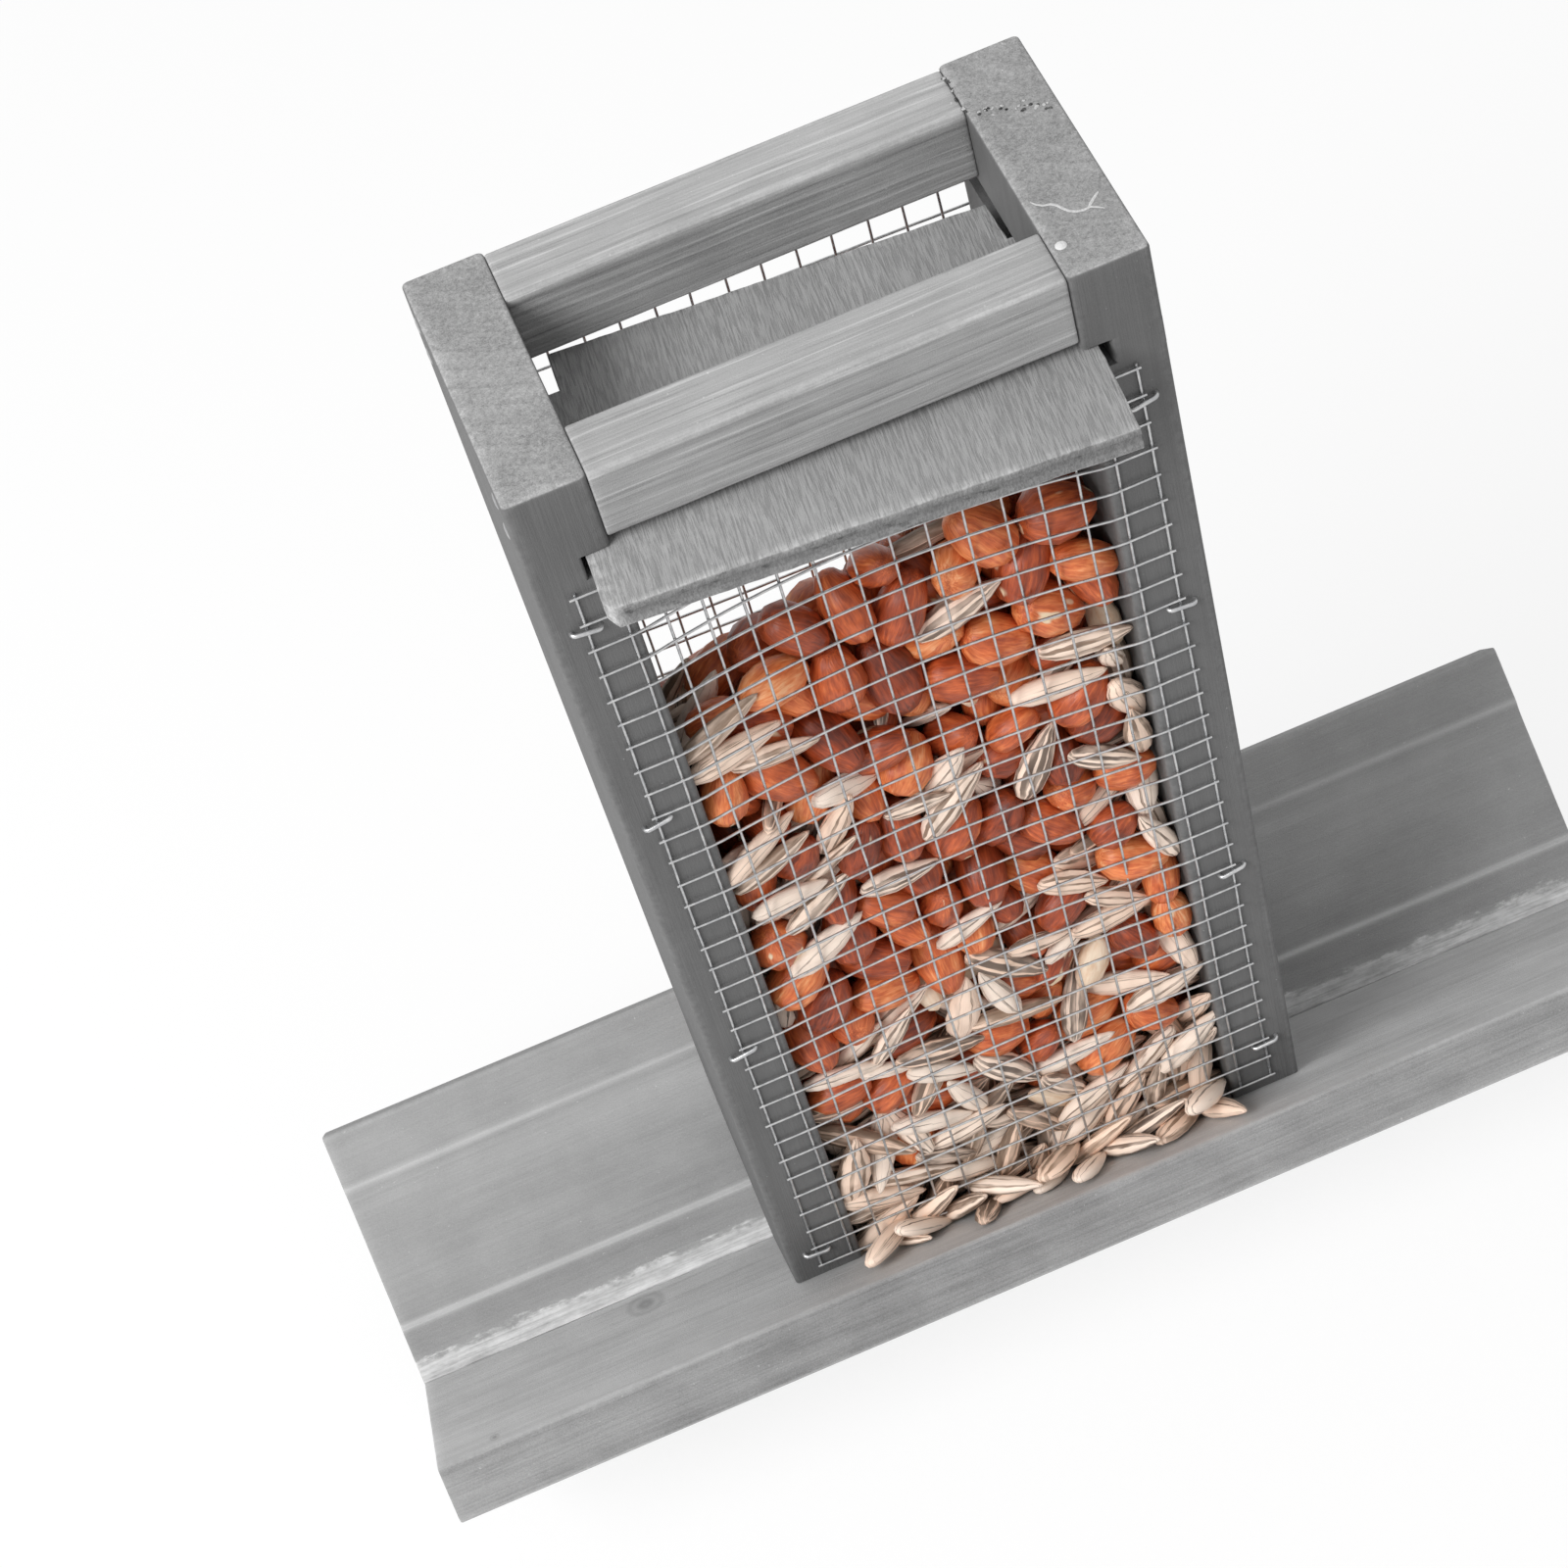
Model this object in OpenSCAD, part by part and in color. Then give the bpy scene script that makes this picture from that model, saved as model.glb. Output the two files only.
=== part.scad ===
// Bird feeder silo in a V trough: two side boards with V-cut feet, two top rails,
// a sliding plywood lid, welded wire mesh stapled on front and rear, and its feed.
// Millimetres, +Z up, front towards -Y. The origin is the middle of the trough's keel.

/* [Silo] */
// Width over the two side boards
silo_w = 107; // [80:1:160]
// Depth of the side boards, front to rear
silo_d = 55; // [44:1:80]
// Height of the side boards above their front foot corners
silo_h = 231; // [190:1:320]
// Thickness of the side boards
board_t = 14; // [11:0.5:20]
// Radius that eases the side boards' upright edges
ease_r = 1; // [0.5:0.1:2]

/* [Top rails] */
// Depth of a rail, front to rear
rail_d = 12; // [8:0.5:16]
// Height of a rail
rail_h = 14.5; // [12:0.5:20]
// Radius of a rail's long edges
rail_r = 2; // [0.5:0.1:4]
// Step of the rear rail in from the boards' rear edges
rear_rail_inset = 0.7; // [0:0.1:3]

/* [Sliding lid] */
// Thickness of the plywood lid
lid_t = 4; // [3:0.5:6]
// Depth of the lid, front to rear
lid_d = 57; // [46:1:80]
// How far the lid is pulled out from its closed place
lid_pull = 14; // [0:0.5:30]
// Radius of the lid's corners
lid_r = 0.8; // [0.3:0.1:3]
// Width of the notch in each rear corner of the lid
lid_notch_w = 6; // [2:0.5:10]
// Depth of those notches, front to rear
lid_notch_d = 9; // [3:0.5:16]
// Depth of the lid's grooves in the side boards
groove_depth = 5; // [3:0.5:7]
// Room above and below the lid in its grooves
groove_play = 0.3; // [0.2:0.05:0.6]
// Room at each side of the lid in its grooves
lid_side_play = 1.25; // [0.5:0.05:2]
// Height from the grooves up to the rails
groove_drop = 1.7; // [1:0.1:4]

/* [Wire mesh] */
// Pitch of the welded wires
pitch = 6.35; // [5:0.05:13]
// Diameter of the wires over their corners
wire_d = 0.55; // [0.5:0.05:1.2]
// Stub of each wire past the outermost crossing
wire_end = 0.8; // [0.4:0.1:2]
// Depth to which crossing wires are welded into each other
weld_sink = 0.1; // [0.05:0.01:0.2]
// Least width of mesh that lies on each side board
mesh_grip = 6; // [5:0.5:8]
// Height of the lowest wire above the foot corners
mesh_foot = 4; // [2:0.05:8]
// Least room between the mesh and the lid's grooves
mesh_lid_gap = 2; // [1:0.5:6]
// How far the front mesh is pressed in between the boards, at its top
mesh_bow = 5; // [0:0.5:10]

/* [Staples] */
// Width over a staple's crown
staple_crown = 5.8; // [4:0.1:8]
// Thickness of a staple's wire
staple_wire = 0.9; // [0.6:0.05:1.2]
// Depth of a staple's legs in the wood
staple_leg = 8; // [5:0.5:10]
// Height of a staple within its mesh row, as a count of pitches
staple_place = 0.76; // [0.3:0.01:0.8]
// Count of mesh rows from a board's end staples to the next ones
staple_rows = 10; // [6:1:14]

/* [Trough] */
// Length of the trough
trough_l = 260; // [200:1:400]
// Width of a trough board's inner face, from the valley to the rim
trough_face = 54; // [46:1:80]
// Thickness of the trough boards
trough_t = 12; // [9:0.5:18]
// Slope of the trough boards, in degrees
trough_slope = 40; // [32:1:45]
// Radius of the rim's edges
rim_r = 1.2; // [0.5:0.1:3]
// Plain margin at each edge of the rear board's relief
relief_margin = 12; // [6:0.5:16]
// Depth of the rear board's shallow relief
relief_depth = 0.8; // [0.3:0.1:1.5]
// Radius of the cove at the relief's upper edge
relief_cove = 8; // [3:0.5:15]

/* [Fasteners] */
// Diameter of a brad
brad_d = 1.6; // [1.2:0.1:2.2]
// Length of a brad
brad_l = 28; // [22:1:30]
// Diameter of a brad's head
brad_head_d = 3; // [2.4:0.1:4]
// Thickness of a brad's head
brad_head_t = 0.8; // [0.5:0.1:1.2]
// Spacing of the two brads in a rail's end
brad_spacing = 7; // [5:0.5:9]
// Distance of the valley brads from the keel
brad_edge = 5; // [4:0.5:7]
// Distance of the outer valley brads from the trough's ends
brad_end = 25; // [12:1:40]
// Diameter of a foot screw
screw_d = 3.5; // [3:0.1:4.5]
// Length of a foot screw
screw_l = 27; // [22:1:30]
// Diameter of a foot screw's countersunk head
screw_head_d = 7; // [6:0.1:9]
// Distance of the foot screws from the valley, along the slope
screw_place = 18; // [14:1:24]
// Room round a fastener in its hole
fit_room = 0.05; // [0.02:0.01:0.1]

/* [Feed] */
// Height from the feed up to the lid, at the middle
feed_gap = 50; // [10:1:80]
// Tilt of the feed's surface, up towards +X, in degrees
feed_tilt = 14; // [0:1:20]
// Fall of the feed's surface from front to rear, in degrees
feed_fall = 50; // [0:1:55]
// Room between the feed and the walls that hold it
feed_room = 0.25; // [0.1:0.05:0.6]

/* [Hidden] */
$fn = 48;
wire_sides = 6;
bow_slices = 8;
bow_taper = 0.01;
through = 1;
inner_w = silo_w - 2 * board_t;
board_x = (silo_w - board_t) / 2;
half_d = silo_d / 2;
valley_z = trough_t / cos(trough_slope);
foot_z = valley_z + half_d * tan(trough_slope);
top_z = foot_z + silo_h;
rail_z = top_z - rail_h / 2;
rail_y = [-half_d + rail_d / 2, half_d - rear_rail_inset - rail_d / 2];
groove_h = lid_t + 2 * groove_play;
groove_z = top_z - rail_h - groove_drop - groove_h;
lid_z = groove_z + groove_play;
lid_w = inner_w + 2 * groove_depth - 2 * lid_side_play;
lid_y = half_d - lid_pull - lid_d / 2;
wire_flat = wire_d * cos(180 / wire_sides);
columns = ceil((inner_w + 2 * mesh_grip) / pitch);
rows = floor((groove_z - mesh_lid_gap - wire_end - mesh_foot - foot_z) / pitch);
mesh_w = columns * pitch;
mesh_h = rows * pitch;
mesh_z = foot_z + mesh_foot;
wire_low = mesh_z - wire_end;
wire_h = mesh_h + 2 * wire_end;
mesh_end = mesh_w / 2 + wire_end;
wire_x = [for (i = [0:columns]) (i - columns / 2) * pitch];
mouth_x = [-inner_w / 2, each [for (x = wire_x) if (abs(x) < inner_w / 2) x], inner_w / 2];
left_rows = [0, staple_rows + 1, rows - staple_rows, rows - 2];
right_rows = [1, staple_rows, rows - staple_rows, rows - 2];
keel_s = -trough_t * tan(trough_slope);
valley_brad_x = [-trough_l / 2 + brad_end, -inner_w / 4, inner_w / 4, trough_l / 2 - brad_end];
feed_z = lid_z - feed_gap;
feed_half = half_d - feed_room;
feed_lift = feed_room / cos(trough_slope);
toe_z = wire_low - feed_room;
toe_y = (toe_z - valley_z - feed_lift) / tan(trough_slope);

// A (y, z) outline carried along X, centred
module along_x(length)
    rotate([90, 0, 90]) linear_extrude(length, center = true) children();

// A centred rectangle with round corners
module rounded_rect(w, h, r) {
    square([w - 2 * r, h], center = true);
    square([w, h - 2 * r], center = true);
    for (x = [-1, 1], y = [-1, 1])
        translate([x * (w / 2 - r), y * (h / 2 - r)]) circle(r);
}

// What is drawn for the rear, set on the front (-1) or the rear (1)
module facing(side) mirror([0, side < 0 ? 1 : 0, 0]) children();

// A trough board's outer face at a distance from the valley, with +Z into the wood
module on_trough(side, x, place)
    facing(side) translate([x, 0, valley_z]) rotate([trough_slope, 0, 0])
        translate([0, place, -trough_t]) children();

// A brad pointing along +Z, its head level with the surface at z = 0
module brad(room = 0, over = 0) {
    translate([0, 0, -over]) cylinder(d = brad_head_d + 2 * room, h = brad_head_t + over);
    cylinder(d = brad_d + 2 * room, h = brad_l - brad_d);
    translate([0, 0, brad_l - brad_d]) cylinder(d1 = brad_d + 2 * room, d2 = 0, h = brad_d + room);
}

// A countersunk screw pointing along +Z, its head level with the surface at z = 0
module screw(room = 0, over = 0) {
    sink = (screw_head_d - screw_d) / 2;
    translate([0, 0, -over]) cylinder(d = screw_head_d + 2 * room, h = over);
    cylinder(d1 = screw_head_d + 2 * room, d2 = screw_d + 2 * room, h = sink);
    cylinder(d = screw_d + 2 * room, h = screw_l - screw_d);
    translate([0, 0, screw_l - screw_d]) cylinder(d1 = screw_d + 2 * room, d2 = 0, h = screw_d + room);
}

// Brads through one side board into the ends of both rails
module rail_brads(side, room = 0, over = 0)
    for (y = rail_y, z = [-1, 1])
        translate([side * silo_w / 2, y, rail_z + z * brad_spacing / 2])
            rotate([0, -side * 90, 0]) brad(room, over);

// Screws through one trough board into the feet of both side boards
module foot_screws(side, room = 0, over = 0)
    for (x = [-board_x, board_x]) on_trough(side, x, screw_place) screw(room, over);

// Brads through the rear trough board into the front one's mitre
module valley_brad_row(room = 0, over = 0)
    for (x = valley_brad_x) on_trough(1, x, keel_s + brad_edge) brad(room, over);

// A staple over a wire on the wood's face at y = 0, its legs towards -Y
module staple(room = 0) {
    leg_gap = staple_crown - 2 * staple_wire;
    linear_extrude(staple_wire + 2 * room, center = true) difference() {
        translate([-staple_crown / 2 - room, -staple_leg - room])
            square([staple_crown + 2 * room, staple_leg + wire_flat + staple_wire + 2 * room]);
        translate([-leg_gap / 2 + room, -staple_leg - through])
            square([leg_gap - 2 * room, staple_leg + wire_flat + through]);
    }
}

// The staples of one mesh, on both side boards
module mesh_staples(side, room = 0)
    facing(side) for (edge = [-1, 1], row = edge < 0 ? left_rows : right_rows)
        translate([edge * mesh_w / 2, half_d, mesh_z + (row + staple_place) * pitch]) staple(room);

// A side board: its V-footed outline, eased edges, lid groove and fastener holes
module side_board(side) {
    groove_x = side * inner_w / 2 - (side < 0 ? groove_depth : 0);
    difference() {
        translate([side * board_x, 0, 0]) intersection() {
            along_x(board_t) polygon([[0, valley_z], [half_d, foot_z], [half_d, top_z],
                                      [-half_d, top_z], [-half_d, foot_z]]);
            linear_extrude(top_z) rounded_rect(board_t, silo_d, ease_r);
        }
        translate([groove_x, -half_d - through, groove_z])
            cube([groove_depth, silo_d + 2 * through, groove_h]);
        for (face = [-1, 1]) {
            mesh_staples(face, fit_room);
            foot_screws(face, fit_room);
        }
        rail_brads(side, fit_room, through);
    }
}

// A rail between the side boards, with round long edges
module top_rail(y)
    difference() {
        along_x(inner_w) translate([y, rail_z]) rounded_rect(rail_d, rail_h, rail_r);
        for (side = [-1, 1]) rail_brads(side, fit_room);
    }

// Share of a mesh's bow at a place across the mouth: none on the boards, all of it in the middle
function bow(x) = max(0, 1 - (2 * x / inner_w) ^ 2);

// A wire's band, bent in by the bow at the given places
function bent(places, press, half) = [for (x = places) [x, half - press * bow(x)]];

// The welded mesh on the face at y = 0: upright wires on the wood, which lean in by the bow at
// their tops, and level wires outside them, bent to match
module mesh_panel(press = 0) {
    places = press > 0 ? [-mesh_end, each mouth_x, mesh_end] : [-mesh_end, mesh_end];
    back = [for (i = [len(places) - 1:-1:0]) places[i]];
    for (x = wire_x) {
        lean = atan(press * bow(x) / wire_h);
        translate([x, wire_flat / 2, wire_low]) rotate([lean, 0, 0])
            cylinder(d = wire_d, h = wire_h / cos(lean), $fn = wire_sides);
    }
    for (k = [0:rows]) {
        here = press * (k * pitch + wire_end) / wire_h;
        translate([0, 1.5 * wire_flat - weld_sink, mesh_z + k * pitch])
            linear_extrude(wire_flat, center = true)
                polygon([each bent(places, here, wire_flat / 2), each bent(back, here, -wire_flat / 2)]);
    }
}

// The rear board's shallow relief, in its own (distance from the valley, height) plane
module relief() {
    cove_run = sqrt(2 * relief_cove * relief_depth - relief_depth ^ 2);
    cove_start = trough_face - relief_margin - cove_run;
    translate([relief_margin, -relief_depth])
        square([cove_start - relief_margin, relief_depth + through]);
    translate([cove_start, relief_cove - relief_depth]) circle(relief_cove);
}

// A trough board for the rear: a board on the slope, mitred at the middle plane
module trough_board(relieved)
    along_x(trough_l) intersection() {
        translate([0, valley_z]) rotate(trough_slope) difference() {
            translate([0, -trough_t / 2]) rounded_rect(2 * trough_face, trough_t, rim_r);
            if (relieved) relief();
        }
        square(2 * trough_face);
    }

module left_side_board() color("Gainsboro") side_board(-1);
module right_side_board() color("Gainsboro") side_board(1);
module front_top_rail() color("LightGray") top_rail(rail_y[0]);
module rear_top_rail() color("LightGray") top_rail(rail_y[1]);

// The plywood lid, notched at its rear corners so that a tongue is left between the boards
module sliding_lid()
    color("Silver") translate([0, lid_y, lid_z]) linear_extrude(lid_t) difference() {
        rounded_rect(lid_w, lid_d, lid_r);
        for (side = [-1, 1])
            translate([side * lid_w / 2, lid_d / 2]) square(2 * [lid_notch_w, lid_notch_d], center = true);
    }

module front_mesh() color("WhiteSmoke") facing(-1) translate([0, half_d, 0]) mesh_panel(mesh_bow);
module rear_mesh() color("WhiteSmoke") translate([0, half_d, 0]) mesh_panel();
module front_mesh_staples() color("LightSteelBlue") mesh_staples(-1);
module rear_mesh_staples() color("LightSteelBlue") mesh_staples(1);

module front_trough_board()
    color("DarkGray") difference() {
        facing(-1) trough_board(false);
        foot_screws(-1, fit_room, through);
        valley_brad_row(fit_room, through);
    }

module rear_trough_board()
    color("DarkGray") difference() {
        trough_board(true);
        foot_screws(1, fit_room, through);
        valley_brad_row(fit_room, through);
    }

module left_rail_brads() color("SlateGray") rail_brads(-1);
module right_rail_brads() color("SlateGray") rail_brads(1);
module front_foot_screws() color("SlateGray") foot_screws(-1);
module rear_foot_screws() color("SlateGray") foot_screws(1);
module valley_brads() color("SlateGray") valley_brad_row();

// What the pressed front mesh takes from the feed: the bow's outline, tapered down to the mesh's foot
module bow_space()
    translate([0, -feed_half, wire_low + wire_h]) mirror([0, 0, 1])
        linear_extrude(wire_h, scale = [1, bow_taper], slices = bow_slices)
            polygon([each [for (x = mouth_x) [x, mesh_bow * bow(x)]], [inner_w / 2, -through],
                     [-inner_w / 2, -through]]);

// The feed fills the silo down to the valley, with a toe under each mesh. Its front follows the
// pressed mesh, and its top falls to the rear, as feed lies after the silo was tipped forward
module seed_fill()
    color("SaddleBrown") difference() {
        along_x(inner_w - 2 * feed_room)
            polygon([[0, valley_z + feed_lift], [toe_y, toe_z], [feed_half, toe_z], [feed_half, top_z],
                     [-feed_half, top_z], [-feed_half, toe_z], [-toe_y, toe_z]]);
        translate([0, 0, feed_z]) rotate([-feed_fall, -feed_tilt, 0])
            translate([-silo_w, -silo_h, 0]) cube([2 * silo_w, 2 * silo_h, silo_h]);
        if (mesh_bow > 0) bow_space();
    }

left_side_board();
right_side_board();
front_top_rail();
rear_top_rail();
sliding_lid();
front_mesh();
rear_mesh();
front_mesh_staples();
rear_mesh_staples();
front_trough_board();
rear_trough_board();
left_rail_brads();
right_rail_brads();
front_foot_screws();
rear_foot_screws();
valley_brads();
seed_fill();
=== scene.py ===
# %% [markdown]
# # A feed silo in its trough
#
# A small wooden feed silo: two upright boards, two rails, a plywood lid that slides in grooves, wire
# mesh stapled on front and rear, and peanuts and sunflower seeds inside. It stands in a trough of two
# boards that meet in a V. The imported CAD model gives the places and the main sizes, so it is loaded
# first. Each piece is built in millimetres and turned into metres when it becomes a mesh.

import bpy
import numpy as np
from mathutils import Matrix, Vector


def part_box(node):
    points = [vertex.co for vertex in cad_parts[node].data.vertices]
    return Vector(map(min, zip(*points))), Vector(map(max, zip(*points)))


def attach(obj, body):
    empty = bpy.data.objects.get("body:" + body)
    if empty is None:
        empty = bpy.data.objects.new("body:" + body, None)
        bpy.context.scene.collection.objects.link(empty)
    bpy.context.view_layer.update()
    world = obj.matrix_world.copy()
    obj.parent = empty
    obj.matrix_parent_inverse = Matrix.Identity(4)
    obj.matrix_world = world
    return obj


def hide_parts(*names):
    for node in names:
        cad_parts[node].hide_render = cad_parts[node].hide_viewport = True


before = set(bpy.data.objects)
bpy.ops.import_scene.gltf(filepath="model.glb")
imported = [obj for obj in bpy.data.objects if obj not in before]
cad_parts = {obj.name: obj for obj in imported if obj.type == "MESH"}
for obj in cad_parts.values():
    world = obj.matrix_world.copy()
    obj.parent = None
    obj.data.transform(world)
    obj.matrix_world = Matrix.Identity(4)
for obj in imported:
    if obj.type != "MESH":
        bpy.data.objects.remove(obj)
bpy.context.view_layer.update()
MM = 0.001


def node_box(node):
    """A CAD node's lowest and highest corners, in millimetres."""
    return np.array(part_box(node)) / MM


# %% [markdown]
# ## Camera
#
# The picture is taken from high in front with a turned camera, so the silo leans in it. The camera is
# set by its place, where it looks and which way is right. A long lens keeps upright edges nearly
# parallel.

# %% Camera
CAMERA_PLACE = np.array([-69.02, -456.77, 713.94])
CAMERA_LOOK = np.array([0.063593, 0.627679, -0.775871])
CAMERA_RIGHT = np.array([0.921507, -0.335391, -0.195801])
LENS = 93.7
SENSOR = 36
NEAREST = 0.01


def add(name, data):
    """A new object in the scene."""
    made = bpy.data.objects.new(name, data)
    bpy.context.scene.collection.objects.link(made)
    return made


def aim(thing, place, right, back):
    """Puts a camera or a lamp at a place, in millimetres, and turns its right side and its back."""
    columns = np.stack([right, np.cross(back, right), back, place * MM], 1)
    thing.matrix_world = Matrix([*columns.tolist(), (0, 0, 0, 1)])


camera = add("camera", bpy.data.cameras.new("camera"))
bpy.context.scene.camera = camera
camera.data.sensor_width = SENSOR
camera.data.lens = LENS
camera.data.clip_start = NEAREST
aim(camera, CAMERA_PLACE, CAMERA_RIGHT, -CAMERA_LOOK)
print("camera at", CAMERA_PLACE, "lens", LENS)

# %% [markdown]
# ## Shader maths
#
# The class below wraps one socket of a material's graph. Plain arithmetic on it adds Math nodes, and
# every other node comes from its one method `node`, which sets the node's own settings first and then
# fills its sockets with values or links.


# %% Shader terms
def fill(tree, socket, value):
    """Gives a socket a link from a term, or else a value."""
    if isinstance(value, Term):
        tree.links.new(value.socket, socket)
    else:
        socket.default_value = value


class Term:
    """One output socket of a shader, with arithmetic that adds Math nodes."""

    def __init__(self, tree, socket=None):
        self.tree, self.socket = tree, socket

    def node(self, kind, settings=None, inputs=None, out=0):
        """Adds any node: settings first, then values or links for its sockets, by name or number."""
        made = self.tree.nodes.new(kind)
        for key, value in (settings or {}).items():
            if key == "stops":
                while len(made.color_ramp.elements) < len(value):
                    made.color_ramp.elements.new(1)
                for stop, (place, colour) in zip(made.color_ramp.elements, value):
                    stop.position, stop.color = place, (*colour, 1)
            else:
                setattr(made, key, value)
        for key, value in (inputs or {}).items():
            fill(self.tree, made.inputs[key], value)
        return Term(self.tree, made.outputs[out])

    def math(self, operation, *others):
        inputs = dict(enumerate((self, *others)))
        return self.node("ShaderNodeMath", {"operation": operation}, inputs)

    def vector(self, operation, inputs=None, out=0):
        inputs = {0: self} | (inputs or {})
        return self.node("ShaderNodeVectorMath", {"operation": operation}, inputs, out)

    def __add__(self, other):
        return self.math("ADD", other)

    def __sub__(self, other):
        return self.math("SUBTRACT", other)

    def __rsub__(self, other):
        return self.node("ShaderNodeMath", {"operation": "SUBTRACT"}, {0: other, 1: self})

    def __mul__(self, other):
        return self.math("MULTIPLY", other)

    def __truediv__(self, other):
        return self.math("DIVIDE", other)

    def __pow__(self, other):
        return self.math("POWER", other)

    def __gt__(self, other):
        return self.math("GREATER_THAN", other)

    __radd__, __rmul__ = __add__, __mul__

    def rise(self, low, high):
        """0 below low, 1 above high, smooth between. With low above high it falls instead."""
        ends = {"From Min": min(low, high), "From Max": max(low, high)}
        smooth = {"interpolation_type": "SMOOTHSTEP"}
        step = self.node("ShaderNodeMapRange", smooth, {"Value": self, **ends})
        return 1 - step if low > high else step

    def stretch(self, x, y, z):
        """A vector term with each of its parts multiplied."""
        return self.vector("MULTIPLY", {1: (x, y, z)})

    def shift(self, other):
        """A vector term plus another, or plus three numbers."""
        return self.vector("ADD", {1: other})

    def parts(self):
        """The x, y and z of a vector term."""
        return [self.node("ShaderNodeSeparateXYZ", None, {0: self}, out) for out in range(3)]

    def noise(self, scale, detail=2.0, rough=0.5):
        """Soft random values, about 0.5 on average."""
        inputs = {"Vector": self, "Scale": scale, "Detail": detail, "Roughness": rough}
        return self.node("ShaderNodeTexNoise", None, inputs, "Fac")

    def mix(self, first, second):
        """Blends two colours by this term."""
        return self.node("ShaderNodeMix", {"data_type": "RGBA"}, {0: self, 6: first, 7: second}, 2)


class Finish:
    """A new material with its main shader and the places on the piece in millimetres."""

    def __init__(self, name):
        self.material = bpy.data.materials.new(name)
        self.material.use_nodes = True
        self.tree = self.material.node_tree
        self.shader = self.tree.nodes["Principled BSDF"]
        place = Term(self.tree).node("ShaderNodeTexCoord", out="Object")
        self.place = place.stretch(1000, 1000, 1000)

    def value(self, name, out="Fac"):
        """A value that the mesh carries at its points."""
        return self.place.node("ShaderNodeAttribute", {"attribute_name": name}, out=out)

    def set(self, **sockets):
        """Fills the main shader's sockets. An underscore stands for a space in a name."""
        for key, value in sockets.items():
            fill(self.tree, self.shader.inputs[key.replace("_", " ")], value)
        return self

    def bump(self, height, depth_mm, strength):
        """Small relief: a height from 0 to 1 stands for depth_mm of real depth."""
        inputs = {"Height": height, "Strength": strength, "Distance": depth_mm * MM}
        return self.set(Normal=height.node("ShaderNodeBump", None, inputs, "Normal"))


def grey(level):
    """The linear brightness of a screen grey from 0 to 255."""
    return ((level / 255 + 0.055) / 1.055) ** 2.4


print("a mid grey of 160 is", round(grey(160), 3), "in linear light")

# %% [markdown]
# ## From numbers to meshes
#
# Nearly every piece is a grid of points: rings that follow each other along a path. These helpers join
# the rings with faces, close the ends, turn the faces outwards and store values at the points, such as
# how worn an edge is, for the materials to read.


# %% Mesh helpers
def unit(vectors):
    return vectors / np.linalg.norm(vectors, axis=-1, keepdims=True)


def grid(x, y, z):
    """Points from three coordinates, each spread to the same shape."""
    return np.stack(np.broadcast_arrays(x, y, z), -1)


def quads(index):
    """Faces between the rings of closed tubes, from the numbers of their points, (tubes, rings, points)."""
    after = np.roll(index, -1, axis=2)
    return np.stack([index[:, :-1], after[:, :-1], after[:, 1:], index[:, 1:]], -1).reshape(-1, 4).tolist()


def ring_faces(shape, first=0):
    """Faces of closed tubes, (..., rings, points): quads between rings, and one face at each end."""
    index = first + np.arange(np.prod(shape)).reshape(-1, *shape[-2:])
    return quads(index) + np.concatenate([index[:, 0, ::-1], index[:, -1]]).tolist()


def build(name, rings, node, slot, finish, sharp=40, body="feeder", faces=None, **values):
    """A piece from points in millimetres, (..., rings, points, 3), hung on its body. The rings become
    closed tubes unless faces are given, and the points carry the values."""
    points = rings.reshape(-1, 3)
    mesh = bpy.data.meshes.new(name)
    mesh.from_pydata((points * MM).tolist(), [], faces or ring_faces(rings.shape[:-1]))
    for key, value in values.items():
        kind, field, shape = "FLOAT", "value", rings.shape[:-1]
        if np.ndim(value) == rings.ndim:
            kind, field, shape = "FLOAT_VECTOR", "vector", rings.shape
        value = np.broadcast_to(value, shape).astype(np.float32).ravel()
        mesh.attributes.new(key, kind, "POINT").data.foreach_set(field, value)
    mesh.calc_loop_triangles()
    corners = np.empty(len(mesh.loop_triangles) * 3, np.int32)
    mesh.loop_triangles.foreach_get("vertices", corners)
    a, b, c = points[corners.reshape(-1, 3)].transpose(1, 0, 2)
    if np.einsum("ij,ij->", a, np.cross(b, c)) < 0:
        mesh.flip_normals()
    mesh.polygons.foreach_set("use_smooth", np.ones(len(mesh.polygons), bool))
    mesh.set_sharp_from_angle(angle=np.radians(sharp))
    mesh.materials.append(finish.material)
    piece = add(name, mesh)
    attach(piece, body)
    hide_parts(node)
    print(name, len(mesh.vertices), "points", len(mesh.loop_triangles), "triangles")


def wave(t, seed, length, octaves=4):
    """A smooth random line: a sum of sines, each about half as long and 0.6 as high as the one before."""
    draw = np.random.default_rng(seed)
    total = 0.0
    for octave in range(octaves):
        step = 2**octave * draw.uniform(0.8, 1.2)
        total = total + 0.6**octave * np.sin(2 * np.pi * step * t / length + draw.uniform(0, 2 * np.pi))
    return total / 2


def circle(sides):
    """Cosines and sines at even steps round a circle."""
    angle = np.arange(sides) * 2 * np.pi / sides
    return np.cos(angle), np.sin(angle)


def tube(paths, radius, side, sides=8):
    """Rings round paths, (wires, steps, 3). No path runs along side. radius may differ by step."""
    along = unit(np.gradient(paths, axis=1))
    out = unit(np.cross(along, side))
    side = np.cross(out, along)
    cosine, sine = circle(sides)
    radius = np.broadcast_to(radius, paths.shape[:2])[:, :, None, None]
    around = cosine[:, None] * out[:, :, None] + sine[:, None] * side[:, :, None]
    return paths[:, :, None] + radius * around


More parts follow.
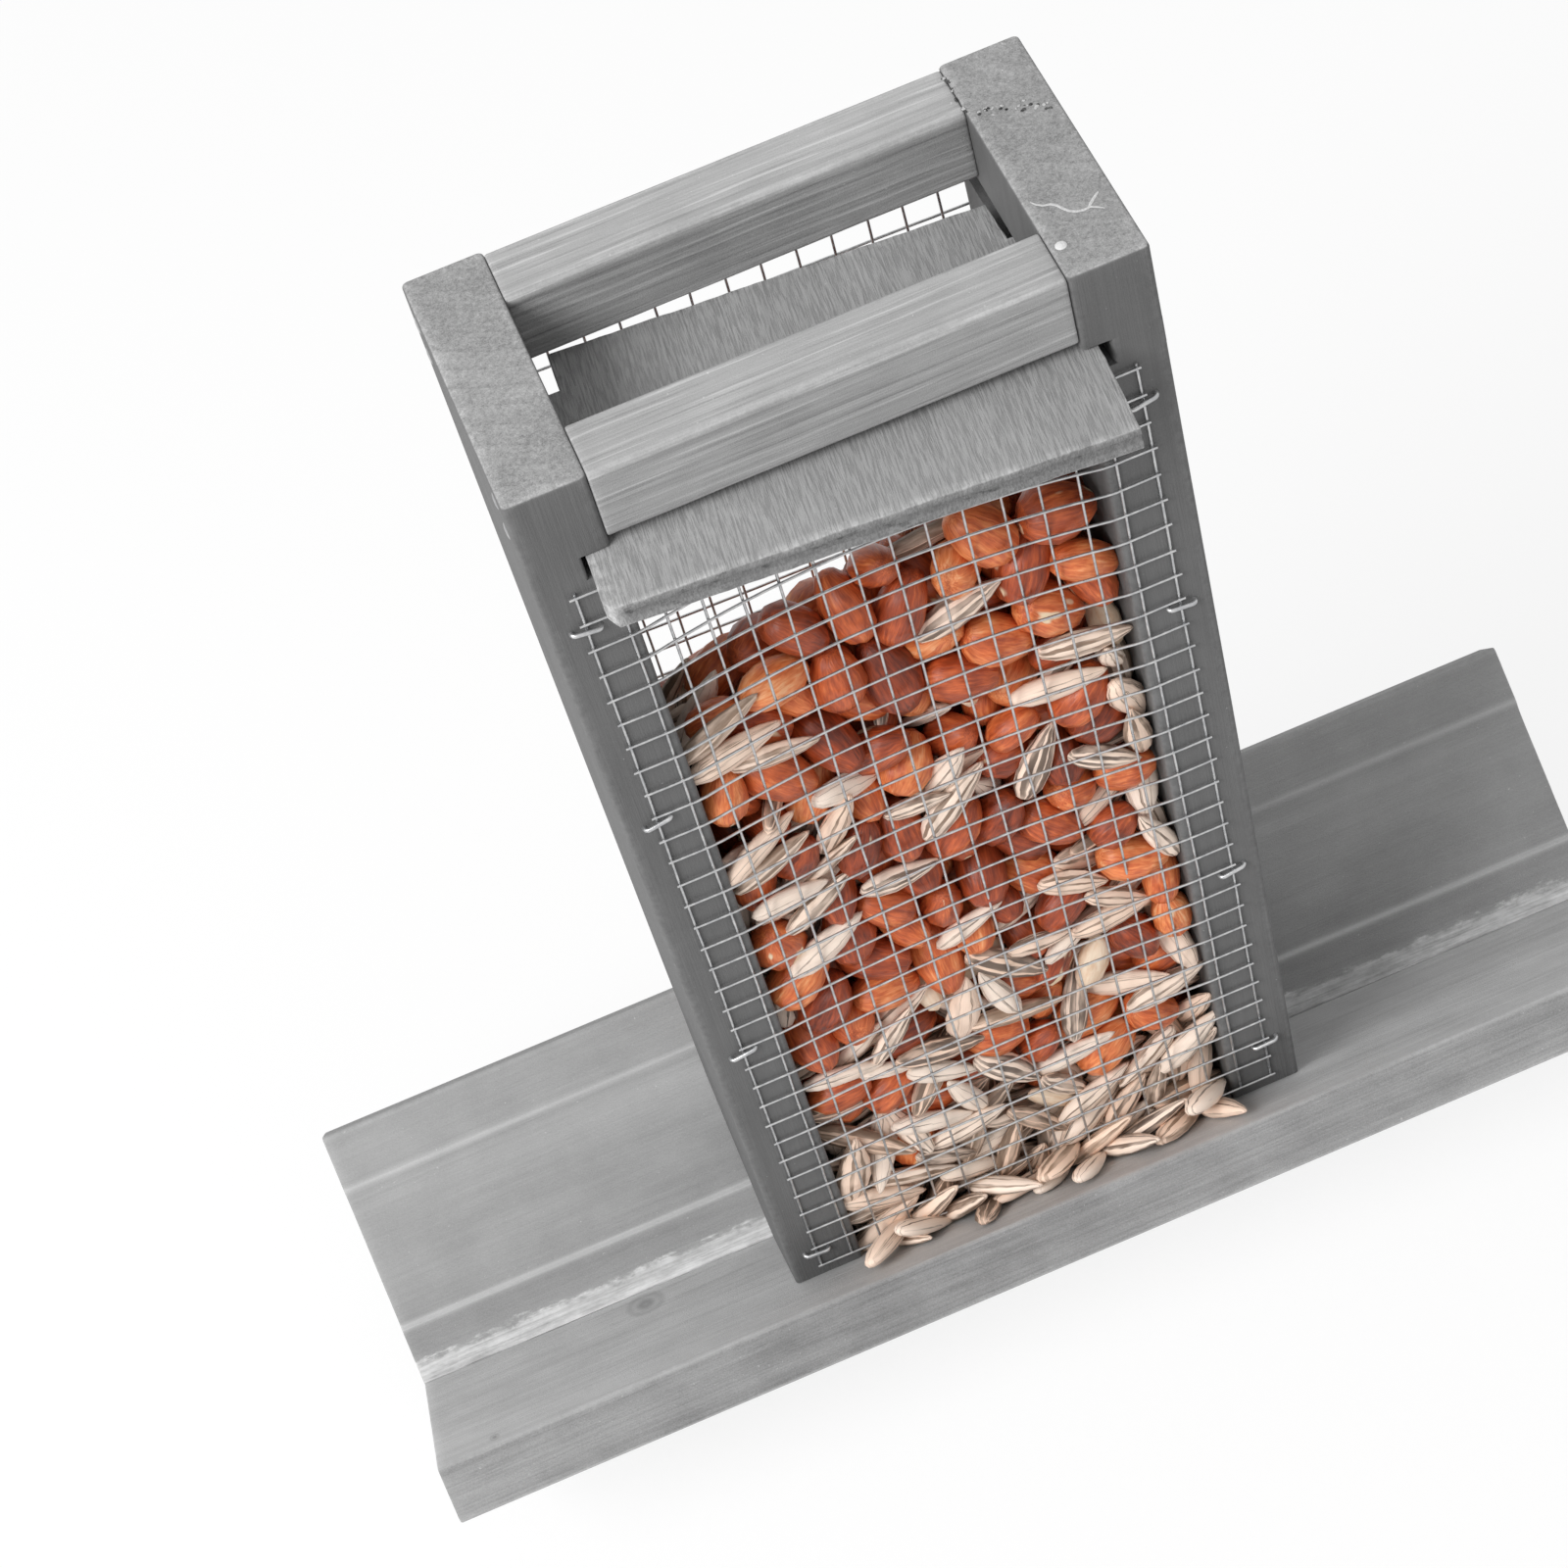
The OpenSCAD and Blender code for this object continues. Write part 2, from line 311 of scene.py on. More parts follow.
def rounded_ring(wide, high, radius, spacing, margin):
    """A centred rectangle with round corners, and 1 at corner points, 0 on flats. Points on a flat start
    at margin from its corners and lie about spacing apart."""
    turn = np.linspace(0, np.pi / 2, 5)
    points, corner = [], []
    for quarter, (sx, sy) in enumerate([(1, 1), (-1, 1), (-1, -1), (1, -1)]):
        angle = turn + quarter * np.pi / 2
        middle = np.array([sx * (wide / 2 - radius), sy * (high / 2 - radius)])
        points.append(middle + radius * np.stack([np.cos(angle), np.sin(angle)], 1))
        run = (wide if quarter % 2 == 0 else high) - 2 * radius
        inner = max(int((run - 2 * margin) / spacing), 1) + 1
        flat = np.linspace(margin, run - margin, inner)[:, None]
        points.append(points[-1][-1] + flat * [(-1, 0), (0, -1), (1, 0), (0, 1)][quarter])
        corner += [1.0] * len(turn) + [0.0] * inner
    return np.concatenate(points), np.array(corner)


print("two rings of four points make", len(ring_faces((2, 4))), "faces")

# %% [markdown]
# ## Stained pine
#
# All the wood but the lid is pine with a thin grey stain. Real grain is solid: rings round the tree's
# heart, cut by the faces of the board, so that a long face shows streaks and a cut end arcs. The finish
# therefore measures the distance from a heart line along the grain, bends it with slow noise and makes
# rings of it. Fine fibres, pale worn edges and small specks come on top. The mesh also marks painted
# light and shade: lighter ridge crests and rail tops, darker hollows and rail sides, and painted
# highlights on the trough's milled edges.

# %% Wood finish
SCUFF_TONE = 194


def stained_pine(
    name, grain, tone, heart, ring=2.4, bend=6.0, streak=0.1, fibre=0.08, mottle=0.1, end_tone=None,
    worn=1.2, marks=(),
):
    """Grey stained pine. grain is the axis of the fibres and heart the tree's middle in the two other
    axes. Tones are screen greys, and marks are knots: a middle and a radius. The mesh says where edges
    are worn, faces are cut and the surface is scuffed. It also says how high its ridges stand, which the
    finish paints lighter on the crests and darker in the hollows as painted light and shade. Its tint
    lightens some places and darkens others, much of it painted light and shade."""
    wood = Finish(name)

    def squeezed(amount):
        return wood.place.stretch(*np.insert(np.ones(2), grain, amount).tolist())

    def distance(middle, scale):
        moved = wood.place.shift((-np.array(middle, float)).tolist())
        return moved.stretch(*scale).vector("LENGTH", out="Value")

    cloud = squeezed(0.2).noise(0.05, 3.0, 0.55) - 0.5
    band = squeezed(0.05).noise(0.6, 4.0, 0.6) - 0.5
    hair = squeezed(0.02).noise(2.6, 3.0, 0.6) - 0.5
    grit = wood.place.noise(4.0, 2.0, 0.7) - 0.5
    across = np.insert(np.ones(2), grain, 0.0).tolist()
    radius = distance(np.insert(np.array(heart, float), grain, 0.0), across)
    turns = (radius + squeezed(0.12).noise(0.03, 2.0) * bend) / ring
    late = turns.math("FRACT") ** 3
    # Painted light and shade: ridge crests are painted lighter and hollows darker. The mesh's tint adds
    # painted light on rail tops, painted shade on their other faces, and painted highlights and cove light
    # on the trough's milled field.
    line = wood.value("line")
    painted_light_and_tint = line.rise(0.3, 0.7) * 0.3 - line.rise(-0.2, -0.65) * 0.15 + wood.value("tint")
    blot = wood.place.noise(0.09, 4.0, 0.6) - 0.5
    shade = 1 + (cloud + blot * 0.7) * (4 * mottle) + (band * 4 + hair * 5) * fibre + grit * 0.45
    face = (shade - late * streak + painted_light_and_tint) * grey(tone)
    if end_tone:
        pores = wood.place.noise(1.5, 4.0, 0.75) - 0.5
        ending = 1 + blot * 0.9 + pores * 1.6 + grit * 0.9 - late * (0.12 + blot * 0.6)
        face = face + wood.value("end") * (ending * grey(end_tone) - face)
    for middle, size in marks:
        away = distance(middle, (1.0 / size, 0.6 / size, 0.6 / size))
        eye = (away * 9).math("SINE") * 0.5 + 0.5
        face = face * (1 - away.rise(1.0, 0.55) * (eye * 0.3 + 0.12))
    edge = wood.value("wear") * wood.place.noise(0.7, 3.0, 0.6).rise(0.3, 0.65)
    ragged = squeezed(0.45).noise(0.5, 4.0, 0.7) - 0.5
    rubbed = wood.value("scuff")
    scuff = (rubbed + band * 0.5 + ragged * 1.1).rise(0.3, 0.62) * (rubbed > 0.01)
    speck = wood.place.noise(1.6, 1.0).rise(0.76, 0.8)
    face = face * (1 + edge * (worn - 1)) + speck * 0.14
    face = face + scuff * (grey(SCUFF_TONE) * (1 + band + hair * 0.9 + ragged) - face)
    wood.set(Base_Color=face, Roughness=0.74 + hair * 0.3)
    return wood.bump(hair * 0.6 + band * 0.8 + grit * 0.4 + 0.5, 0.3, 0.55)


print("stained pine is ready")

# %% [markdown]
# ## Side boards
#
# Each upright board has eased edges, a foot cut to a V so that it stands in the trough, and a groove for
# the lid. It could be cut from a block with booleans, but a loft is cleaner: level rings are stacked
# from foot to top, get narrower towards the V and step back at the groove.

# %% Side boards
SLOPE = np.radians(40)
board_low, board_high = node_box("left_side_board")
lid_low, lid_high = node_box("sliding_lid")
BOARD_T = board_high[0] - board_low[0]
HALF_D = board_high[1]
VALLEY = board_low[2]
TOP = board_high[2]
FOOT = VALLEY + HALF_D * np.tan(SLOPE)
INNER = -board_high[0]
EASE = 0.9
GROOVE_DEPTH = 5.0
GROOVE = lid_low[2] - 1.1, lid_high[2] + 0.3
LIP = 0.25


def side_board(side):
    """Level rings along Z: narrower in the V foot, stepped back at the groove, drawn in on top."""
    rise = np.array([0.5, 4, 10, 16, 20, 22, HALF_D * np.tan(SLOPE)])
    body = np.linspace(FOOT + 2, GROOVE[0] - 3, 24)
    groove = [GROOVE[0] - LIP, GROOVE[0], GROOVE[1], GROOVE[1] + LIP]
    head = [GROOVE[1] + 4, TOP - 6, TOP - 2.2, TOP - 0.6, TOP - 0.3, TOP - 0.09, TOP, TOP]
    level = np.concatenate([VALLEY + rise, body, groove, head])[:, None]
    inset = np.concatenate([np.zeros(len(level) - 4), [0.08, 0.26, 0.6, 2.2]])[:, None]
    half = np.minimum(HALF_D, (level - VALLEY) / np.tan(SLOPE))
    outline, corner = rounded_ring(BOARD_T, 2 * HALF_D, EASE, spacing=4.0, margin=1.5)
    stepped = (level > GROOVE[0] - LIP / 2) & (level < GROOVE[1] + LIP / 2)
    x = outline[:, 0] * (1 - 2 * inset / BOARD_T)
    x = np.where(stepped, (x + BOARD_T / 2) * (1 - GROOVE_DEPTH / BOARD_T) - BOARD_T / 2, x)
    y = outline[:, 1] * (half - inset) / HALF_D
    y = y + 0.12 * wave(level, 11 + side, 170) * (np.abs(outline[:, 1]) > 20)
    wear = np.maximum(corner * (inset < 1), (inset > 0.05) & (inset < 1))
    rings = grid(-side * x + side * (INNER + BOARD_T / 2), y, level)
    return rings, {"wear": wear, "end": inset > 0.2}


for side, word, heart in ((-1, "left", (-10, 75)), (1, "right", (85, 55))):
    board_finish = stained_pine(
        f"{word}_board_finish", grain=2, tone=98, heart=heart, ring=4.2, bend=5.0, streak=0.05,
        fibre=0.06, end_tone=150, worn=1.25,
    )
    rings, values = side_board(side)
    build(f"board_{word}", rings, f"{word}_side_board", "side_board_wood", board_finish, **values)

# %% [markdown]
# ## Splinters
#
# A fibre has lifted on top of the right board, a pale chip sits beside the rail, and the saw left a
# rough band with crumbs. Each is a short thin tube, thickest in its middle, pressed nearly flat on the
# wood.

# %% Splinters
FIBRE = [(40.9, -9.2), (41.9, -10.8), (44, -11.4), (45.2, -13.9), (46.9, -15.2), (48.9, -15), (50.5, -16.5)]
BRANCH = [(48.1, -15.3), (49.7, -13.7), (51.0, -12.6)]
CHIP = [(40.6, -20.7), (41.4, -20.4), (42.4, -20.0)]
CRUMBS = 48
STEPS = 12
LIE = TOP + 0.05
PRESS = 0.35


def flat_path(corners):
    """The x and y of points at even steps along a chain of corners."""
    corners = np.array(corners, float)
    run = np.append(0, np.cumsum(np.linalg.norm(np.diff(corners, axis=0), axis=1)))
    return [np.interp(np.linspace(0, run[-1], STEPS), run, line) for line in corners.T]


def splinter_rings(seed):
    """Flat tubes: the fibre, its branch, the chip, and crumbs on the rough band and the rail's joint, where
    most are dark as painted shade of the gap.
    """
    toss = np.random.default_rng(seed)
    joint = np.arange(CRUMBS)[:, None] < CRUMBS // 3
    first = np.where(joint, [39.5, 14.5], [40.8, 14.6])
    last = np.where(joint, [39.5, 26.5], [52.2, 9.0])
    strewn = toss.uniform(-1, 1, (CRUMBS, 2)) * np.where(joint, [0.2, 0.5], [0.9, 1.0])
    start = first + toss.random((CRUMBS, 1)) * (last - first) + strewn
    reach = toss.uniform(-0.6, 0.6, (CRUMBS, 2))
    chains = [FIBRE, BRANCH, CHIP, *np.stack([start, start + reach], 1)]
    x, y = np.stack([flat_path(corners) for corners in chains], 1)
    thick = np.concatenate([[0.3, 0.28, 0.95], toss.uniform(0.15, 0.38, CRUMBS)])[:, None]
    oval = np.sqrt(1 - 0.9 * np.linspace(-1, 1, STEPS) ** 2)
    rings = tube(grid(x, y, LIE), thick * oval, (0, 0, 1.0), sides=6)
    rings[..., 2] = LIE + (rings[..., 2] - LIE) * PRESS
    # Dark crumbs: along the rail's joint they are painted shade of the gap there, and on the rough band
    # they are darker grit.
    dark = toss.random(CRUMBS) < 0.4 + 0.3 * joint[:, 0]
    tint = np.concatenate([[0.0, 0.0, 0.25], np.where(dark, -0.85, -0.15)])
    return rings, tint[:, None, None]


rings, tint = splinter_rings(19)
splinter_finish = stained_pine("splinter_finish", grain=1, tone=205, heart=(60, 240))
build("splinters", rings, "right_side_board", "side_board_wood", splinter_finish, 60, tint=tint)

# %% [markdown]
# ## Top rails
#
# A rail is a short length of pine between the boards. Its soft early wood has worn away, so the grain
# stands out as fine ridges along its length. The ridges are real relief: a random line moves the rounded
# profile in and out before it is carried along X.

# %% Top rails
RAIL_EASE = 1.0
RIDGE = 0.07
END_EASE = 0.4, 0.12


def board_run(length, ease, inner):
    """Places along a board, and how far the ring at each is drawn in, which eases the two cut ends."""
    x = np.concatenate([ease, inner, length - np.array(ease)[::-1]])[:, None]
    return x, np.concatenate([END_EASE, np.zeros(len(x) - 4), END_EASE[::-1]])[:, None]


def rail(node, seed):
    """A rounded profile, raised by ridges that run along X and fade in and out, carried along X."""
    low, high = node_box(node)
    middle, size = (low + high) / 2, high - low
    outline, corner = rounded_ring(size[1], size[2], RAIL_EASE, spacing=0.25, margin=0.4)
    around = np.cumsum(np.linalg.norm(outline - np.roll(outline, 1, 0), axis=1))
    x, draw_in = board_run(size[0], [0, 0.12, 0.45], np.linspace(1.5, size[0] - 1.5, 40))
    bend = 0.5 * wave(x, seed, 150) + 0.07 * wave(x, seed + 5, 33)
    fade = 0.75 + 0.6 * wave(x + 9 * around, seed + 2, 70)
    line = wave(around + bend, seed + 1, 2.1, 3) * fade
    sag = 0.15 * wave(x, seed + 3, 160) * (outline[:, 1] < 0)
    lift = (np.minimum(RIDGE * line, 0.03) - draw_in)[..., None] * unit(outline)
    y = middle[1] + outline[:, 0] + lift[..., 0]
    z = middle[2] + outline[:, 1] + lift[..., 1] + sag
    # Painted light: the top face is made lighter and the other faces darker, standing in for light that
    # falls on the top more than on the sides.
    tint = np.where(outline[:, 1] > size[2] / 2 - 0.6, 0.04, -0.12)
    values = {"line": line, "wear": corner, "end": draw_in > 0.2, "tint": tint}
    return grid(low[0] + x, y, z), values


for word, heart, seed in (("front", (-60, 300), 21), ("rear", (70, 330), 31)):
    rail_finish = stained_pine(
        f"{word}_rail_finish", grain=0, tone=166, heart=heart, ring=3.4, bend=2.0, streak=0.08,
        fibre=0.12, mottle=0.12, end_tone=116, worn=1.12,
    )
    rings, values = rail(f"{word}_top_rail", seed)
    build(f"rail_{word}", rings, f"{word}_top_rail", "rail_wood", rail_finish, 50, **values)

# %% [markdown]
# ## Sliding lid
#
# The lid is thin plywood with the straight grain of a peeled veneer and short dark pores. Its sawn edge
# is ragged, the rear corners are notched, a front corner has split a little, and it sits slightly askew
# in its grooves. The outline is a chain of corners, filled with points, roughened and carried through
# the thickness.

# %% Lid shape
LID_SKEW = np.radians(-3)
EDGE_SKEW = np.tan(np.radians(-1.6))
SET_BACK = 0.5
NOTCH = 6.0, 9.0
LID_STEP = 0.8


def chain(corners, spacing):
    """Points at about spacing along the lines between corners, round to the first again."""
    parts = []
    for start, stop in zip(corners, np.roll(corners, -1, 0)):
        count = max(int(np.linalg.norm(stop - start) / spacing), 1)
        parts.append(start + (stop - start) * np.arange(count)[:, None] / count)
    return np.concatenate(parts)


def lid_sheet():
    """Rings of the notched, ragged outline from the lower face to the upper one, drawn in at the faces
    and at the middle layer. Front and rear edge run off square, and the sheet is turned by its skew."""
    w, d = (lid_high - lid_low)[:2] / 2 - (0.15, 0)
    nx, ny = w - NOTCH[0], d - NOTCH[1]
    corners = [
        (-w + 1.2, -d), (w, -d), (w, ny), (nx + 0.8, ny), (nx, d), (-nx - 0.4, d),
        (-nx - 0.6, ny + 0.3), (-w, ny), (-w, -d + 2.5), (-w + 0.5, -d + 1.4),
    ]
    outline = chain(np.array(corners), LID_STEP)
    run = np.arange(len(outline)) * LID_STEP
    rag = np.minimum(0.13 * wave(run, 41, 21, 6), 0.1)
    level = np.array([-0.8, -0.8, -0.68, -0.4, 0.9, 1.05, 2.35, 2.5, 3.6, 3.9, 4.0, 4.0])[:, None]
    draw_in = np.array([2.0, 0.4, 0.12, 0, 0, 0.12, 0.12, 0, 0, 0.08, 0.3, 2.0])[:, None]
    draw_in = draw_in + 0.07 * wave(run + 17 * level, 43, 9, 4)
    flat = outline + unit(outline) * (rag - np.maximum(draw_in, -0.05))[..., None]
    flat[..., 1] += EDGE_SKEW * flat[..., 0] + SET_BACK
    rim = (np.minimum(level + 0.8, 4 - level) < 0.45) * (draw_in < 1)
    left = np.clip((-flat[..., 0] - w + 3) / 2, 0, 1) * (flat[..., 1] < 5)
    layer = 0.8 + 0.2 * ((level > 1) & (level < 2.4))
    ply = layer * ((level > -0.6) & (level < 3.8)) * (1 - left)
    turn = np.array([[np.cos(LID_SKEW), -np.sin(LID_SKEW)], [np.sin(LID_SKEW), np.cos(LID_SKEW)]])
    flat = flat @ turn.T + (lid_low + lid_high)[:2] / 2
    rings = grid(flat[..., 0], flat[..., 1], lid_low[2] + level)
    return rings, {"wear": np.maximum(rim * 0.7, left), "ply": ply}


lid_rings, lid_values = lid_sheet()
print("the lid's outline has", lid_rings.shape[1], "points")


# %% Lid finish
def plywood(name, tone):
    """Peeled veneer: fibres six degrees off Y with fine dark pores, and a darker, layered edge."""
    wood = Finish(name)
    x, y, z = wood.place.parts()
    veneer = x.node("ShaderNodeCombineXYZ", None, {0: x - y * 0.102, 1: y, 2: z})
    hair = veneer.stretch(1, 0.03, 1).noise(2.4, 3.0, 0.6) - 0.5
    pores = veneer.stretch(2.0, 0.17, 1).noise(1.2, 3.0, 0.6).rise(0.42, 0.62)
    cloud = wood.place.stretch(1, 0.25, 1).noise(0.06, 3.0) - 0.5
    grit = wood.place.noise(4.0, 2.0, 0.7) - 0.5
    speck = wood.place.noise(1.7, 1.0).rise(0.76, 0.8)
    edge = wood.value("wear") * wood.place.noise(0.5, 3.0, 0.6).rise(0.35, 0.62)
    shade = 1.14 + hair * 0.6 + cloud * 0.5 + grit * 0.35 - pores * 0.27
    void = wood.place.stretch(0.4, 1, 1).noise(0.7, 2.0).rise(0.6, 0.7)
    face = shade * grey(tone) * (1 - wood.value("ply") * (0.5 + void * 0.25 + hair * 0.5))
    face = face * (1 + edge * 0.5) + speck * 0.1
    wood.set(Base_Color=face, Roughness=0.76 + hair * 0.25)
    return wood.bump(hair * 0.6 - pores * 0.4 + grit * 0.3 + 0.5, 0.25, 0.55)


lid_finish = plywood("lid_finish", tone=146)
build("lid_sheet", lid_rings, "sliding_lid", "lid_plywood", lid_finish, body="lid", **lid_values)

# %% [markdown]
# ## Trough
#
# Two boards meet in a mitre and make a V. The rear one is milled: a shallow field lies between a crisp
# line near the valley and a soft cove near the rim. Each board is one profile carried along X, written
# as distance from the valley and height above the face, and then turned by the slope.

# %% Trough profile
trough_low, trough_high = node_box("rear_trough_board")
TROUGH_L = trough_high[0] - trough_low[0]
TROUGH_FACE = 54.0
TROUGH_T = 12.0
RIM = 0.8
RELIEF_EDGE = 12.0
RELIEF_STOP = TROUGH_FACE - RELIEF_EDGE
RELIEF_DEPTH = 0.8
COVE = 8.0


def hump(s, middle, half, power=2):
    """A smooth hump, 1 at its middle, with a flatter top at a higher power."""
    return np.exp(-(np.abs((s - middle) / half) ** power))


def trough_profile(milled, rim_tint):
    """One board's section, from the valley up the inner face, round the rim and back to the keel:
    distance, height, and how worn, scuffed and light each point is. The milled field's two edges get
    painted highlights and its cove painted light, its valley is scuffed, and the sawn rim takes more stain."""
    fine = np.array([-1.8, -1.2, -0.6, -0.25, 0, 0.25, 0.6, 1.2, 1.8])
    s = np.concatenate([np.linspace(0.1, 6, 18), np.linspace(6.5, TROUGH_FACE - RIM - 0.6, 60)])
    s = np.unique(np.concatenate([s, RELIEF_EDGE + fine, RELIEF_STOP + fine]).round(3))
    n = scuff = tint = 0.0
    if milled:
        step = np.clip((s - RELIEF_EDGE) / 0.5 + 0.5, 0, 1)
        run = np.clip((RELIEF_STOP - s) / np.sqrt(2 * COVE * RELIEF_DEPTH), 0, 1)
        n = -RELIEF_DEPTH * step * (1 - (1 - run) ** 2)
        scuff = np.clip(1.35 - s / 4.8, 0, 1)
        # Painted light on the milled field: a painted highlight along the crisp edge near the valley and
        # along the cove's edge, and painted light that fades down the cove. Below the crisp edge is a
        # slightly darker strip, and the whole field is a touch darker.
        tint = 0.7 * hump(s, RELIEF_EDGE, 0.6) - 0.1 * hump(s, 8, 3, 4) - 0.03
        tint += 0.42 * hump(s, RELIEF_STOP, 0.7) + 0.14 * hump(s, RELIEF_STOP - 4, 5, 1)
    turn = np.linspace(np.pi / 2, 0, 6)
    arc_s, arc_n = TROUGH_FACE - RIM + RIM * np.cos(turn), -RIM + RIM * np.sin(turn)
    edge = np.linspace(0, rim_tint, 6)
    flat = np.linspace(-RIM - 0.8, RIM + 0.8 - TROUGH_T, 9)
    back = np.linspace(TROUGH_FACE - RIM - 1, -TROUGH_T * np.tan(SLOPE) + 0.3, 16)
    mitre = -TROUGH_T * np.linspace(1, 0, 5)[1:-1]
    stretches = [
        (s, n, 0, scuff, tint),
        (arc_s, arc_n, 0.35, 0, edge),
        (TROUGH_FACE, flat, 0, 0, rim_tint),
        (arc_s[::-1], -TROUGH_T - arc_n[::-1], 0.5, 0, edge[::-1]),
        (back, -TROUGH_T, 0, 0, 0),
        (mitre * np.tan(SLOPE), mitre, 0, 0, 0),
    ]
    return [np.concatenate(part) for part in zip(*[np.broadcast_arrays(*row) for row in stretches])]


print("the milled board's section has", len(trough_profile(True, 0)[0]), "points")

# %% Trough boards
MITRE_GAP = 0.02
MIDDLE_S, MIDDLE_N = TROUGH_FACE * 0.42, -TROUGH_T / 2


def on_trough(side, x, s, depth=0.0):
    """A place at a distance from the valley along the slope, and a depth below the inner face."""
    y = s * np.cos(SLOPE) + depth * np.sin(SLOPE)
    return x, side * y, VALLEY + s * np.sin(SLOPE) - depth * np.cos(SLOPE)


def trough_board(side, milled, rim_tint, seed):
    """The profile carried along X with slow ripples, and with a hair of room at the mitre."""
    s, n, worn, scuff, tint = trough_profile(milled, rim_tint)
    x, draw_in = board_run(TROUGH_L, [0, 0.1, 0.4, 2], np.linspace(4, TROUGH_L - 4, 90))
    ripple = 0.05 * wave(x + 6 * s, seed, 90) + 0.04 * wave(s + 0.02 * x, seed + 1, 9)
    chips = -0.3 * scuff * np.maximum(wave(x + 30 * s, seed + 2, 46, 6), 0)
    height = n + (ripple + chips) * (n > -1.0)
    across = (s - MIDDLE_S) * (1 - draw_in / 30) + MIDDLE_S
    height = (height - MIDDLE_N) * (1 - draw_in / 5.5) + MIDDLE_N
    x, y, z = on_trough(1, trough_low[0] + x, across, -height)
    wear = np.maximum(worn, (draw_in > 0.1) * 0.6)
    values = {"wear": wear, "end": draw_in > 0.3, "scuff": scuff, "tint": tint}
    return grid(x, side * np.maximum(y, MITRE_GAP), z), values


KNOTS = [(on_trough(-1, -82.5, 8.6), 4.8), (on_trough(-1, -118.0, 50.0), 1.2)]
# The front board's tone is painted lighter than the rear's. This is painted light for its inner face, which
# turns away from the key lamp. The rim tint takes that lift back off its sawn rim, so both rims end up
# alike.
for word, side, milled, tone, rim_tint, fibre, heart, seed, marks in (
    ("front", -1, False, 186, -0.45, 0.07, (-40, 120), 51, KNOTS),
    ("rear", 1, True, 158, -0.2, 0.045, (90, -60), 61, ()),
):
    trough_finish = stained_pine(
        f"{word}_trough_finish", grain=0, tone=tone, heart=heart, ring=7.5, bend=8.0, streak=0.05,
        fibre=fibre, mottle=0.11, end_tone=141, worn=1.25, marks=marks,
    )
    rings, values = trough_board(side, milled, rim_tint, seed)
    build(f"trough_{word}", rings, f"{word}_trough_board", "trough_wood", trough_finish, **values)

# %% [markdown]
# ## Wire mesh
#
# The mesh is welded from straight wires: uprights lie on the wood and level wires cross them outside.
# Handling has pressed it in, so between the boards it bows towards the feed, most near the top. One
# function gives the bow at any place, and every wire is a thin tube that follows it.

# %% Wire mesh
mesh_low, mesh_high = node_box("front_mesh")
PITCH = 6.35
WIRE_R = 0.25
WIRE_END = 0.8
WELD = 0.08
PRESSED = {-1: 5.0, 1: 0.0}
LEAN = {-1: 0.0, 1: -0.022}
COLUMNS = np.arange(16)
ROWS = np.arange(33)
MESH_FOOT = mesh_low[2] + WIRE_END
WIRE_X = (COLUMNS - 7.5) * PITCH
WIRE_Z = MESH_FOOT + ROWS * PITCH


def bow(x, z, side):
    """How far the mesh is pressed in: 0 at the boards, more in the middle, growing with height."""
    across = np.clip(1 - (x / INNER) ** 2, 0, None)
    up = np.clip((z - mesh_low[2]) / (mesh_high[2] - mesh_low[2]), 0, 1)
    return PRESSED[side] * across * up


def mesh_tubes(side, seed):
    """Round tubes: uprights follow the bow along Z, level wires along X, each with a slight wobble."""
    draw = np.random.default_rng(seed)
    z = np.linspace(mesh_low[2], mesh_high[2], 68)
    x = np.linspace(-INNER - 4, INNER + 4, 36)
    x = np.sort(np.concatenate([x, [mesh_low[0], mesh_high[0], -INNER - 1, INNER + 1]]))
    ux = WIRE_X[:, None] + np.array([wave(z, seed + c, 120) for c in COLUMNS]) * 0.16
    uy = side * (HALF_D + WIRE_R - bow(ux, z, side))
    lift = np.array([wave(x, seed + 40 + r, 70) for r in ROWS]) * 0.14 + draw.normal(0, 0.1, (len(ROWS), 1))
    lz = WIRE_Z[:, None] + lift + LEAN[side] * (x + INNER)
    lx = x + draw.uniform(-0.25, 0.25, (len(ROWS), 1))
    ly = side * (HALF_D + 3 * WIRE_R - WELD - bow(lx, lz, side))
    uprights = tube(grid(ux, uy, z), WIRE_R, (1.0, 0, 0))
    levels = tube(grid(lx, ly, lz), WIRE_R, (0, 0, 1.0))
    faces = ring_faces(uprights.shape[:-1]) + ring_faces(levels.shape[:-1], uprights.size // 3)
    return np.concatenate([uprights.reshape(-1, 3), levels.reshape(-1, 3)]), faces


def drawn_steel(name, tone, rough, dull):
    """Zinc on steel: metal whose brightness and gloss change in small patches."""
    steel = Finish(name)
    patch = steel.place.noise(0.6, 3.0, 0.6)
    level = grey(tone) * (0.7 + patch * 0.6)
    tint = patch.rise(0.35, 0.65).mix((0.92 * dull, 0.93 * dull, 0.95 * dull, 1), (1, 1, 1, 1))
    colour = tint.vector("SCALE", {"Scale": level})
    steel.set(Base_Color=colour, Metallic=0.85, Roughness=rough + (patch - 0.5) * 0.3)
    return steel.bump(steel.place.noise(5.0, 1.0), 0.03, 0.4)


wire_finish = drawn_steel("mesh_wire_finish", tone=196, rough=0.32, dull=0.93)
for word, side, seed in (("front", -1, 71), ("rear", 1, 81)):
    points, faces = mesh_tubes(side, seed)
    build(f"mesh_{word}", points, f"{word}_mesh", "mesh_wire", wire_finish, 60, faces=faces)

# %% [markdown]
# ## Staples
#
# Each mesh edge is held by a few staples driven by hand, so none sits quite straight. A staple is a wire
# bent to a U, so its path is worked out once: up one leg, round a bend, along the crown, round and down.

# %% Staples
CROWN = 5.8
STAPLE_R = 0.45
STAPLE_LEG = 8.0
STAPLE_BEND = 0.7
STAPLE_PROUD = 0.95
STAPLE_PLACE = 0.76
STAPLE_ROWS = np.array([0, 11, 22, 30, 1, 10, 22, 30])


